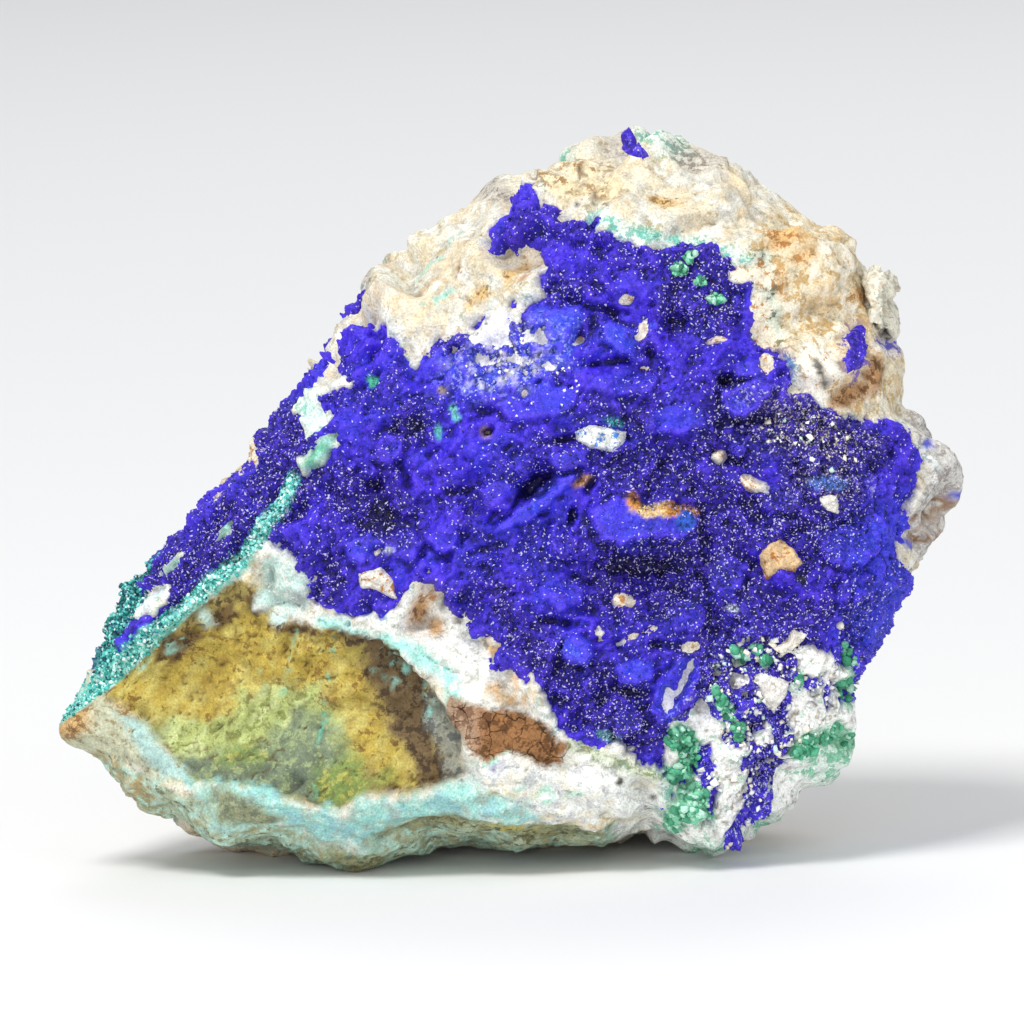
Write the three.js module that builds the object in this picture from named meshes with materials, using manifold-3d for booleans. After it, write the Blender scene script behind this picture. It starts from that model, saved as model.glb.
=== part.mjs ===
// Azurite specimen: a hand-sized chunk of altered, cream and ochre host rock. A crust of fine azurite
// crystals covers most of its front, with a seam and clusters of malachite, small chips of the rock caught
// in the crust, and a glassy quartz knob on one shoulder. Nothing moves: the minerals grew on the rock.
//
// Millimetres. The shapes are drawn in a drawing frame that faces the azurite: x to the right, y away from
// the viewer, z up. The stance turns that frame so that the stone stands on its own feet and its trimmed
// base, with +Z up.
import * as THREE from "three";
import { mergeVertices } from "three/addons/utils/BufferGeometryUtils.js";
import Module from "manifold-3d";

const wasm = await Module();
wasm.setup();

// Driving dimensions.
const NET_STEP = 3.8; // spacing of the grid that the stone's surface is found on
const NET_LOW = [-50, -27, -4]; // and the corners of that grid
const NET_HIGH = [50, 27, 79];
const CRUST = 1.9; // thickness of the azurite crust
const GAP = 0.35; // clearance between pieces that touch in the real stone
const CRUST_BACK = 1.5; // how far round the sides the crust reaches, as a depth
const CRUST_WAVE = 1.6; // how far its back edge wanders from that
const PATCH_BACK = -4; // the same for the small patches
const ROLL = THREE.MathUtils.degToRad(1.7); // how the drawing frame leans on the surface, sideways
const PITCH = THREE.MathUtils.degToRad(8); // and backwards
const FOOT = { x: -15.4, y: -6, z: 0.15 }; // the lowest front foot
const EDGE_ROUNDING = 2.6; // how softly the stone's faces meet
const RIM_DEPTH = -2; // depth at which the stone is widest
const FRONT_DRAFT = 0.1; // how much the sides narrow for each millimetre in front of the rim
const BACK_DRAFT = 0.34; // and behind it

// The stone's outline, seen from the front, from its left tip along the bottom and back over the top.
const SILHOUETTE = [
  [-45.6, 15], [-43, 12.6], [-40.2, 9.8], [-38.3, 7.7], [-35.5, 5.7], [-32.5, 4.2], [-30, 2.6],
  [-26, 1.7], [-23.5, 0.9], [-20, 0.7], [-17, 0.4], [-15.4, -0.2], [-13.5, 0.3], [-11, 1], [-6, 2.2],
  [-0.5, 2], [4, 2.5], [10.2, 2.7], [11, 3.2], [14.5, 3.1], [16.2, 2.5], [17, 1.8], [19, 1.2], [22.3, 1],
  [23.1, 2.3], [25, 3.8], [25.5, 4.9], [27.6, 5.6], [28.9, 7.7], [31, 8.2], [33.5, 9.9], [33.7, 12],
  [34.7, 14.5], [34.4, 18], [35.4, 20], [36.4, 22.5], [37.5, 23.3], [38.1, 25.5], [39.7, 27.5],
  [40, 29.5], [41.4, 31.3], [41.3, 32.2], [43.5, 35], [43.9, 36.8], [45.1, 39], [45.3, 40.4],
  [44.7, 41.8], [43.2, 43.6], [41.7, 45.1], [39.5, 46.8], [39.3, 50], [39.2, 52.5], [38.4, 54],
  [36.6, 57], [35.5, 60.5], [34.3, 63.3], [33.4, 64.3], [32, 64.5], [30, 65.6], [27.8, 67.3], [24, 69.4],
  [22.8, 70.9], [20.5, 72], [18.8, 72.9], [17, 73.6], [15, 74.3], [13, 74.6], [11, 74.2], [8.5, 73.8],
  [6.5, 72.9], [5, 71.8], [3, 70.5], [-1.5, 69.6], [-2.7, 68.9], [-3.3, 67.8], [-5.5, 66.6], [-10, 63.9],
  [-11, 62.5], [-13.8, 60.9], [-14.6, 60], [-15.9, 57], [-18, 54.1], [-20.6, 50.6], [-21.4, 49.1],
  [-23.6, 46.8], [-25.8, 44.1], [-26.5, 42], [-28.6, 40.1], [-32.1, 36.4], [-35.6, 31.3], [-37.3, 30],
  [-39.9, 26.4], [-41.4, 22.5], [-42.1, 20.5], [-43.7, 18.2],
];

// The azurite crust's outline. Where it passes outside the silhouette, the crust goes on round the side.
const CRUST_OUTLINE = [
  [-25.5, 31], [-24, 32.4], [-21, 31], [-20.4, 28.5], [-18.8, 26.8], [-16, 24.9], [-14, 26.4],
  [-11, 27.8], [-9, 29.8], [-5, 26], [-4, 24], [-1.5, 23.2], [-0.5, 20.8], [1.8, 19], [3, 17],
  [4.5, 14.5], [7.5, 12.5], [11.5, 12.4], [12.5, 11], [15, 10], [15.4, 6], [15.6, -4], [26, -4], [38, 5],
  [39.5, 10], [41, 15], [42.5, 20], [44.5, 25], [46, 29], [40.4, 31], [40.2, 36], [39.8, 38],
  [40.8, 41.5], [39.4, 46], [33, 46], [30, 47.8], [27.6, 48.3], [27.4, 51.8], [24, 52.3], [24.2, 56],
  [22.5, 60.8], [20.2, 62.3], [15.5, 63.2], [12, 62.9], [9, 65.2], [4.9, 65.4], [2, 66.4], [-0.2, 65],
  [-2.4, 64.3], [-1.8, 62], [3.4, 62.8], [2.6, 59], [1, 57.4], [-3.2, 56], [-4.8, 54], [-8.2, 53.2],
  [-9.8, 50.2], [-11.4, 53.6], [-14.3, 55.3], [-16.8, 54], [-17.3, 48.9], [-19.8, 48.6], [-18, 53.6],
  [-16.6, 60], [-21, 58.5], [-26, 55], [-32, 49], [-37, 44], [-42, 39], [-46, 33], [-47, 26], [-43, 20.2],
  [-39, 21.6], [-33, 26], [-27.5, 30.4],
];

// Patches of azurite that stand apart from the crust.
const PATCH_OUTLINES = {
  azurite_crown_patch: [[10.6, 73], [11.2, 76], [12.8, 75], [13.4, 72], [11.6, 71.6]],
  azurite_shoulder_patch: [[33.2, 52.4], [35.6, 55], [36.5, 53], [35.6, 50], [33, 49.4]],
};

// The broken face at the lower left, where the crust and the rock under it have come away.
const HOLLOW_OUTLINE = [
  [-41, 19], [-34, 24], [-26, 29.4], [-23.4, 25.4], [-17, 24.6], [-11, 23.2], [-7, 20.2], [-5, 13],
  [-8, 8.6], [-14, 8.2], [-18, 6.4], [-24, 8.2], [-33, 9.4], [-36.5, 14],
];
const HOLLOW_DEPTH = 3.6;
const HOLLOW_WALL = 4.2; // how far in from its outline the hollow takes to reach its depth

// Flat faces of the front: each is a line in the drawing plane and how fast the stone falls back beyond it.
const FRONT_FACE_Y = -16;
const FRONT_FACES = [
  { from: [-22, 39], away: [-0.72, 0.69], slope: 0.75, y: -15.4 }, // the left slope
  { from: [-18, 20], away: [-1, 0], slope: 0.36, y: -15.6 }, // towards the left tip
  { from: [-6, 55], away: [-0.62, 0.78], slope: 0.6, y: -15 }, // the smooth cream face
  { from: [8, 65], away: [0, 1], slope: 0.75, y: -15.4 }, // the crown
  { from: [26, 56], away: [0.75, 0.66], slope: 0.5, y: -15.4 }, // the tan shoulder
  { from: [35.5, 36], away: [1, 0.1], slope: 0.95, y: -15 }, // the right edge
  { from: [30, 15], away: [0.75, -0.66], slope: 0.7, y: -14.4 }, // the lower right corner
  { from: [0, 5.5], away: [0, -1], slope: 1.1, y: -12.6 }, // the turned-under bottom edge
];

// Flat faces of the back, in the same terms; the stone comes forward beyond each line.
const BACK_FACE_Y = 23;
const BACK_FACES = [
  { from: [0, 24], away: [0.1, 1], slope: 0.26, y: 22.6 },
  { from: [-14, 20], away: [-1, 0.25], slope: 0.48, y: 22 },
  { from: [20, 30], away: [1, -0.1], slope: 0.5, y: 20 },
  { from: [6, 54], away: [0.35, 1], slope: 0.45, y: 14.5 },
  { from: [-8, 42], away: [-0.7, 0.7], slope: 0.42, y: 15 },
  { from: [0, 9], away: [0.2, -1], slope: 0.3, y: 22.4 },
];

// Raised or sunk places on the crust: where, how far across each way, how much nearer the viewer, and
// their turn.
const SWELLS = [
  { at: [-14.5, 51], size: [4.6, 5.4], rise: 1.6 }, // the rounded lobe at the upper left
  { at: [12.8, 35], size: [6.4, 2.6], rise: 2.6, turn: 3 }, // the central shelf
  { at: [0.5, 34.5], size: [6, 3.2], rise: 1.5, turn: 38 },
  { at: [5.8, 42], size: [3, 2.2], rise: 1.2 },
  { at: [9.5, 44.2], size: [3.4, 1.8], rise: 1.3, turn: -8 },
  { at: [23, 47.6], size: [3.6, 2.6], rise: 1.5, turn: 12 },
  { at: [4.5, 53.5], size: [4, 3.8], rise: 1.2 },
  { at: [11, 29.5], size: [6, 2.4], rise: -2.2, turn: -6 }, // the shadow under the shelf
  { at: [3.4, 38.8], size: [2.6, 1.4], rise: -2.6, turn: 35 },
  { at: [13, 57.5], size: [6, 1.5], rise: -1.6, turn: -4 },
  { at: [-12.5, 36], size: [1.8, 2.2], rise: -1.8 },
  { at: [16, 18.5], size: [3.8, 1.8], rise: 1.6, turn: 52 }, // a tilted, crust-covered plate
  { at: [12.5, 20], size: [2.6, 1.8], rise: 1.2 },
  { at: [29, 27], size: [5, 4], rise: 1 },
  { at: [42.6, 40], size: [2.6, 5], rise: 1.4 }, // the pale boss at the right
];

// Clusters of malachite on the crust, as overlapping beads: x, z and radius.
const CLUSTERS = {
  malachite_cluster_upper: [
    [16.6, 14.3, 1.5], [17.6, 12.6, 1.6], [16.2, 12.8, 1.2], [16.2, 11, 1.3], [17.6, 10.8, 1.3],
  ],
  malachite_cluster_lower: [[17.8, 7, 1.8], [18.9, 7.6, 1.3], [18.9, 5.8, 1.3]],
  malachite_blade: [[20.4, 18, 1.1], [21.2, 16.8, 1.2], [21.8, 15.6, 1.2], [22.4, 14.2, 1.1]],
  malachite_wedge: [[29, 13.6, 1.5], [28.5, 12.4, 1.2], [30.3, 12.8, 1.4], [31.6, 13.2, 1.2]],
  malachite_beads: [[22.6, 22, 1.1], [23.9, 22, 1.1], [25, 21.4, 1]],
};

// Strings of malachite grains along broken edges.
const SEAMS = {
  malachite_seam: {
    grain: 1.25,
    line: [
      [-22.2, 39.2], [-22.8, 37], [-24, 35], [-25.6, 32.8], [-27.6, 30.6], [-30.4, 28.6], [-33.4, 26.6],
      [-36.4, 24], [-38.8, 21.9], [-41.2, 19.4],
    ],
  },
  malachite_edge: {
    grain: 1.25,
    line: [[-35.6, 30.2], [-37, 28.2], [-38.2, 26.6], [-39, 25]],
  },
};
const SEAM_STEP = 2; // distance between grains

// Chips of rock caught in the crust: where, half width and half height, and their turn.
const CHIPS = [
  { name: "rock_chip_triangle", at: [26, 18.2], size: [1.7, 2], turn: 12 },
  { name: "rock_chip_pair", at: [27.6, 23.6], size: [1.9, 1.1], turn: 32 },
  { name: "rock_chip_right", at: [31.7, 37.1], size: [1.4, 1.2], turn: -20 },
  { name: "rock_chip_rusty", at: [27, 31.6], size: [2, 1.5], turn: -28 },
  { name: "rock_chip_middle", at: [9.4, 43.8], size: [2.5, 1.3], turn: -6 },
  { name: "rock_chip_left", at: [-13.3, 28.9], size: [1.7, 1.3], turn: -30 },
];
const CHIP_DEPTH = 1.4;

const QUARTZ_KNOB = { at: [37.1, 56.8], size: [1.7, 3.5], depth: 3.6, turn: -5, y: -5.5 };

// ---- Shape functions ----

function smoothMax(a, b, k) {
  const h = Math.max(k - Math.abs(a - b), 0);
  return Math.max(a, b) + (h * h) / (4 * k);
}

const smoothMin = (a, b, k) => -smoothMax(-a, -b, k);

function smoothStep(from, to, value) {
  const t = THREE.MathUtils.clamp((value - from) / (to - from), 0, 1);
  return t * t * (3 - 2 * t);
}

// Distance from a point to a closed outline: negative inside.
function outlineDistance(outline, x, z) {
  let nearest = Infinity;
  let inside = false;
  outline.forEach(([ax, az], i) => {
    const [bx, bz] = outline[(i + 1) % outline.length];
    const [ex, ez] = [bx - ax, bz - az];
    const t = THREE.MathUtils.clamp(((x - ax) * ex + (z - az) * ez) / (ex * ex + ez * ez), 0, 1);
    nearest = Math.min(nearest, Math.hypot(x - ax - t * ex, z - az - t * ez));
    if (az > z !== bz > z && x < ax + ((z - az) * ex) / ez) inside = !inside;
  });
  return inside ? -nearest : nearest;
}

// A repeatable number from 0 to 1 for each lattice point.
function latticeValue(i, j, k) {
  const s = Math.sin(i * 127.1 + j * 311.7 + k * 74.7) * 43758.5453;
  return s - Math.floor(s);
}

const UNIT_CUBE = [
  [0, 0, 0], [1, 0, 0], [0, 1, 0], [1, 1, 0], [0, 0, 1], [1, 0, 1], [0, 1, 1], [1, 1, 1],
];

// Smooth noise from -1 to 1 with features about one unit across.
function noise(x, y, z) {
  const [i, j, k] = [x, y, z].map(Math.floor);
  const [u, v, w] = [x - i, y - j, z - k].map((t) => t * t * (3 - 2 * t));
  let sum = 0;
  for (const [a, b, c] of UNIT_CUBE)
    sum += latticeValue(i + a, j + b, k + c) * (a ? u : 1 - u) * (b ? v : 1 - v) * (c ? w : 1 - w);
  return 2 * sum - 1;
}

const beyond = ({ from, away }, x, z) => (x - from[0]) * away[0] + (z - from[1]) * away[1];

function swell({ at, size, rise, turn = 0 }, x, z) {
  const a = THREE.MathUtils.degToRad(turn);
  const [dx, dz] = [x - at[0], z - at[1]];
  const u = (dx * Math.cos(a) + dz * Math.sin(a)) / size[0];
  const v = (dz * Math.cos(a) - dx * Math.sin(a)) / size[1];
  return rise * Math.exp(-((u * u + v * v) ** 2));
}

// Depth of the front surface.
function frontDepth(x, z) {
  let y = FRONT_FACE_Y;
  for (const face of FRONT_FACES) y = smoothMax(y, face.y + face.slope * beyond(face, x, z), 3);
  y += HOLLOW_DEPTH * smoothStep(0, HOLLOW_WALL, -outlineDistance(HOLLOW_OUTLINE, x, z));
  for (const place of SWELLS) y -= swell(place, x, z);
  return y;
}

// Depth of the back surface.
function backDepth(x, z) {
  let y = BACK_FACE_Y;
  for (const face of BACK_FACES) y = smoothMin(y, face.y - face.slope * beyond(face, x, z), 3);
  return y;
}

const columns = new Map(); // the parts of the stone's shape that don't depend on y

function column(x, z) {
  const key = `${x},${z}`;
  if (!columns.has(key))
    columns.set(key, [outlineDistance(SILHOUETTE, x, z), frontDepth(x, z), backDepth(x, z)]);
  return columns.get(key);
}

// Negative inside the stone, and roughly the distance to its surface.
function stoneField(x, y, z) {
  const [side, front, back] = column(x, z);
  const narrowing = y < RIM_DEPTH ? FRONT_DRAFT * (RIM_DEPTH - y) : BACK_DRAFT * (y - RIM_DEPTH);
  const rough = 0.8 * noise(x / 9, y / 9, z / 9) + 0.35 * noise(x / 4.5 + 9, y / 4.5, z / 4.5);
  const wall = side + Math.max(narrowing * smoothStep(0, 14, z) - 0.4, 0);
  const faces = smoothMax(front - y, y - back, EDGE_ROUNDING) + rough;
  return smoothMax(wall, faces, EDGE_ROUNDING);
}

// Where a cell's face is inside at two opposite corners only, the surface would pinch: this takes a third
// one in.
function fillPinches(values, eachCell, index) {
  const faces = [[[1, 0, 0], [0, 1, 0]], [[0, 1, 0], [0, 0, 1]], [[0, 0, 1], [1, 0, 0]]];
  let pinched = true;
  while (pinched) {
    pinched = false;
    eachCell(1, (i, j, k) => {
      for (const [p, q] of faces) {
        const ring = [
          index(i, j, k),
          index(i + p[0], j + p[1], k + p[2]),
          index(i + p[0] + q[0], j + p[1] + q[1], k + p[2] + q[2]),
          index(i + q[0], j + q[1], k + q[2]),
        ];
        const [a, b, c, d] = ring.map((n) => values[n] < 0);
        if (a !== c || b !== d || a === b) continue;
        const outer = a ? [ring[1], ring[3]] : [ring[0], ring[2]];
        const nearest = values[outer[0]] < values[outer[1]] ? outer[0] : outer[1];
        values[nearest] = -values[nearest] - 0.01;
        pinched = true;
      }
    });
  }
}

// The closed surface where field is zero: one point for each cell it passes through, joined across the
// grid's edges.
function surfaceNet(field, low, high, step) {
  const counts = low.map((a, i) => Math.ceil((high[i] - a) / step) + 1);
  const at = (i, j, k) => [low[0] + i * step, low[1] + j * step, low[2] + k * step];
  const index = (i, j, k) => (k * counts[1] + j) * counts[0] + i;
  const values = new Float32Array(counts[0] * counts[1] * counts[2]);
  const eachCell = (shrink, visit) => {
    for (let k = 0; k < counts[2] - shrink; k++)
      for (let j = 0; j < counts[1] - shrink; j++)
        for (let i = 0; i < counts[0] - shrink; i++) visit(i, j, k);
  };
  eachCell(0, (i, j, k) => {
    values[index(i, j, k)] = field(...at(i, j, k));
  });
  fillPinches(values, eachCell, index);
  const corners = [[0, 0, 0], [1, 0, 0], [0, 1, 0], [1, 1, 0], [0, 0, 1], [1, 0, 1], [0, 1, 1], [1, 1, 1]];
  const edges = corners.flatMap((a, i) => corners.slice(i + 1).map((b) => [a, b]))
    .filter(([a, b]) => a.reduce((sum, v, n) => sum + Math.abs(v - b[n]), 0) === 1);
  const points = [];
  const pointOf = new Map();
  eachCell(1, (i, j, k) => {
    const sum = [0, 0, 0];
    let crossings = 0;
    for (const [a, b] of edges) {
      const va = values[index(i + a[0], j + a[1], k + a[2])];
      const vb = values[index(i + b[0], j + b[1], k + b[2])];
      if (va < 0 === vb < 0) continue;
      const t = va / (va - vb);
      for (let n = 0; n < 3; n++) sum[n] += a[n] + t * (b[n] - a[n]);
      crossings++;
    }
    if (!crossings) return;
    const corner = at(i, j, k);
    pointOf.set(index(i, j, k), points.length / 3);
    points.push(...sum.map((s, n) => corner[n] + (step * s) / crossings));
  });
  const triangles = [];
  eachCell(1, (i, j, k) => {
    for (let axis = 0; axis < 3; axis++) {
      const cell = [i, j, k];
      const next = [...cell];
      next[axis]++;
      const inside = values[index(...cell)] < 0;
      if (inside === values[index(...next)] < 0) continue;
      const [p, q] = [(axis + 1) % 3, (axis + 2) % 3];
      const ring = [[0, 0], [1, 0], [1, 1], [0, 1]].map(([dp, dq]) => {
        const neighbour = [...cell];
        neighbour[p] -= dp;
        neighbour[q] -= dq;
        return pointOf.get(index(...neighbour));
      });
      if (!inside) ring.reverse();
      triangles.push(ring[0], ring[1], ring[2], ring[0], ring[2], ring[3]);
    }
  });
  return new THREE.BufferGeometry()
    .setAttribute("position", new THREE.Float32BufferAttribute(points, 3))
    .setIndex(triangles);
}

// ---- Solids ----

function solidOf(geometry) {
  geometry.deleteAttribute("normal");
  geometry.deleteAttribute("uv");
  const merged = mergeVertices(geometry, 1e-4);
  return new wasm.Manifold(new wasm.Mesh({
    numProp: 3,
    vertProperties: new Float32Array(merged.attributes.position.array),
    triVerts: new Uint32Array(merged.index.array),
  }));
}

function stoneSolid(offset) {
  const field = (x, y, z) => stoneField(x, y, z) - offset;
  return solidOf(surfaceNet(field, NET_LOW, NET_HIGH, NET_STEP));
}

// A prism with the given outline, from in front of the stone to the given depth.
function prism(outline, depth) {
  const front = -30;
  const shape = new THREE.Shape(outline.map(([x, z]) => new THREE.Vector2(x, z)));
  const geometry = new THREE.ExtrudeGeometry(shape, { depth: depth - front, bevelEnabled: false });
  return solidOf(geometry.rotateX(Math.PI / 2).translate(0, depth, 0));
}

// Everything behind the crust's back edge, which wanders to and fro.
function behindCrust(shift) {
  const geometry = new THREE.BoxGeometry(130, 60, 110, 13, 1, 11).translate(0, 30, 35);
  const places = geometry.attributes.position;
  for (let i = 0; i < places.count; i++) {
    const wave = CRUST_WAVE * Math.sin(places.getX(i) / 6 + places.getZ(i) / 5);
    places.setY(i, places.getY(i) + CRUST_BACK + shift + wave);
  }
  return solidOf(geometry);
}

// An outline with every point moved outwards, along the bisector of its two edges.
function grown(outline, by) {
  const turnsLeft = Math.sign(THREE.ShapeUtils.area(outline.map(([x, z]) => new THREE.Vector2(x, z))));
  return outline.map(([x, z], i) => {
    const [ax, az] = outline.at(i - 1);
    const [bx, bz] = outline[(i + 1) % outline.length];
    const before = new THREE.Vector2(x - ax, z - az).normalize();
    const after = new THREE.Vector2(bx - x, bz - z).normalize();
    const out = new THREE.Vector2(before.y + after.y, -before.x - after.x).normalize();
    return [x + turnsLeft * by * out.x, z + turnsLeft * by * out.y];
  });
}

// Depth of the stone's front surface at a place, by halving the way in to it.
function surfaceDepth(x, z) {
  let [outside, inside] = [-27, RIM_DEPTH];
  for (let n = 0; n < 24; n++) {
    const middle = (outside + inside) / 2;
    if (stoneField(x, middle, z) < 0) inside = middle;
    else outside = middle;
  }
  return outside;
}

function placed(geometry, [x, z], size, turn, y) {
  return geometry.scale(...size).rotateY(THREE.MathUtils.degToRad(-turn)).translate(x, y, z);
}

function beadSolid([x, z, radius], detail) {
  const ball = new THREE.IcosahedronGeometry(radius, detail);
  return solidOf(placed(ball, [x, z], [1, 1, 1], 17 * x, surfaceDepth(x, z) - GAP));
}

const joined = (solids) => solids.reduce((a, b) => a.add(b));

// The grains of a seam, evenly spaced along its line on the stone's surface.
function seamBeads({ grain, line }) {
  const points = line.map(([x, z]) => new THREE.Vector3(x, surfaceDepth(x, z), z));
  const curve = new THREE.CatmullRomCurve3(points);
  const count = Math.round(curve.getLength() / SEAM_STEP);
  return curve.getSpacedPoints(count).map((p, i) => [p.x, p.z, grain * (i % 2 ? 1.1 : 0.95)]);
}

// ---- Assembly ----

const rockMaterial = new THREE.MeshStandardMaterial({ color: 0xd9c9a6, roughness: 0.9, metalness: 0 });
const azuriteMaterial = new THREE.MeshStandardMaterial({ color: 0x2a1fae, roughness: 0.45, metalness: 0 });
const malachiteMaterial = new THREE.MeshStandardMaterial({ color: 0x3f9f7c, roughness: 0.6, metalness: 0 });
const seamMaterial = new THREE.MeshStandardMaterial({ color: 0x3fb5ac, roughness: 0.6, metalness: 0 });
const chipMaterial = new THREE.MeshStandardMaterial({ color: 0xe9e4d6, roughness: 0.85, metalness: 0 });
const quartzMaterial = new THREE.MeshStandardMaterial({ color: 0xc9d2c6, roughness: 0.35, metalness: 0 });

const stance = new THREE.Euler(-PITCH, ROLL, 0);

// Everything below the surface that the stone stands on, in the drawing frame.
function groundSolid() {
  const depth = 60;
  const block = new THREE.BoxGeometry(300, 300, depth).translate(0, 0, -depth / 2);
  const turnedBack = new THREE.Matrix4().makeRotationFromEuler(stance).invert();
  return solidOf(block.applyMatrix4(turnedBack).translate(FOOT.x, FOOT.y, FOOT.z));
}

const stone = stoneSolid(0);
const underCrust = stoneSolid(-CRUST);
const underGap = stoneSolid(-CRUST - GAP);
const clearOfStone = stoneSolid(GAP);
const ground = groundSolid();

const skin = stone.subtract(underCrust);
const deepest = CRUST_BACK + 2 * CRUST_WAVE;
const crustPocket = prism(grown(CRUST_OUTLINE, GAP), deepest).subtract(behindCrust(GAP));
const patchPockets = Object.values(PATCH_OUTLINES).map((outline) =>
  prism(grown(outline, GAP), PATCH_BACK + GAP),
);

const specimen = new THREE.Group();

// The largest body of a solid, without the crumbs and bubbles that cutting it leaves.
const mainBody = (solid) => solid.decompose().reduce((a, b) => (a.volume() > b.volume() ? a : b));

function addNode(name, solid, material) {
  const mesh = mainBody(solid.subtract(ground)).getMesh();
  const geometry = new THREE.BufferGeometry()
    .setAttribute("position", new THREE.BufferAttribute(mesh.vertProperties, 3))
    .setIndex(new THREE.BufferAttribute(mesh.triVerts, 1));
  const node = new THREE.Mesh(geometry, material);
  node.name = name;
  specimen.add(node);
}

addNode("host_rock", stone.subtract(joined([crustPocket, ...patchPockets])).add(underGap), rockMaterial);
const crustPrism = prism(CRUST_OUTLINE, deepest).subtract(behindCrust(0));
addNode("azurite_crust", skin.intersect(crustPrism), azuriteMaterial);
for (const [name, outline] of Object.entries(PATCH_OUTLINES))
  addNode(name, skin.intersect(prism(outline, PATCH_BACK)), azuriteMaterial);

const taken = clearOfStone;
for (const [name, beads] of Object.entries(CLUSTERS))
  addNode(name, joined(beads.map((bead) => beadSolid(bead, 1))).subtract(taken), malachiteMaterial);
for (const [name, seam] of Object.entries(SEAMS))
  addNode(name, joined(seamBeads(seam).map((bead) => beadSolid(bead, 0))).subtract(taken), seamMaterial);
for (const { name, at, size, turn } of CHIPS) {
  const lump = new THREE.DodecahedronGeometry(1);
  const chip = placed(lump, at, [size[0], CHIP_DEPTH, size[1]], turn, surfaceDepth(...at) - GAP);
  addNode(name, solidOf(chip).subtract(taken), chipMaterial);
}
const { at, size, depth, turn, y } = QUARTZ_KNOB;
const knob = placed(new THREE.IcosahedronGeometry(1, 3), at, [size[0], depth, size[1]], turn, y);
addNode("quartz_knob", solidOf(knob).subtract(taken), quartzMaterial);

// Stand the stone up, with the middle of its footprint at the origin.
specimen.rotation.copy(stance);
specimen.updateMatrixWorld(true);
const box = new THREE.Box3().setFromObject(specimen, true);
const centre = box.getCenter(new THREE.Vector3());
specimen.position.set(-centre.x, -centre.y, -box.min.z);

export default specimen;
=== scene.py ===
"""Azurite specimen: the look of every piece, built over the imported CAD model."""

import math

import bmesh
import bpy
import numpy as np
from mathutils import Matrix, Vector
from mathutils.kdtree import KDTree


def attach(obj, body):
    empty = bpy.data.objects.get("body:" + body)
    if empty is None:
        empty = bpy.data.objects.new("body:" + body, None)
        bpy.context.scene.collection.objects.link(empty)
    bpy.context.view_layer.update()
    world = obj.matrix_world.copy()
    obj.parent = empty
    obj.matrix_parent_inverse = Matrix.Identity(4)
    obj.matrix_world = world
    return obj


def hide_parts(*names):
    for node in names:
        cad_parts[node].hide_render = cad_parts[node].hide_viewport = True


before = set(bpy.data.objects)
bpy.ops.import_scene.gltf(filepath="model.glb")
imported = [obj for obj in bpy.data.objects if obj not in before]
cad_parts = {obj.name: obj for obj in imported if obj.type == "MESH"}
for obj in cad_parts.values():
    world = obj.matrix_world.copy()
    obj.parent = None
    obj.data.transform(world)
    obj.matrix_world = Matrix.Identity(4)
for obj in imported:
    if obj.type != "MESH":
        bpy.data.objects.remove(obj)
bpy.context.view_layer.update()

# ---- The drawing frame: millimetres, x to the right, y away from the viewer, z up ----

MM = 0.001
ROLL = math.radians(1.7)
PITCH = math.radians(8)
ORIGIN = np.array([-1.0235, -4.7401, -1.4359])  # the drawing frame's origin in the row frame, in mm
TURN = np.array(Matrix.Rotation(-PITCH, 3, "X") @ Matrix.Rotation(ROLL, 3, "Y"))
FACE_CENTRE = (0.0, -2.0, 36.1)  # what the camera looks at
CAMERA_DISTANCE = 1500.0
FRAME_WIDTH = 102.4  # what the camera sees across at that distance


def to_row(points):
    return (points @ TURN.T + ORIGIN) * MM


def to_drawing(points):
    return (points / MM - ORIGIN) @ TURN


# ---- Outlines, given in the drawing frame ----

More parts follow.
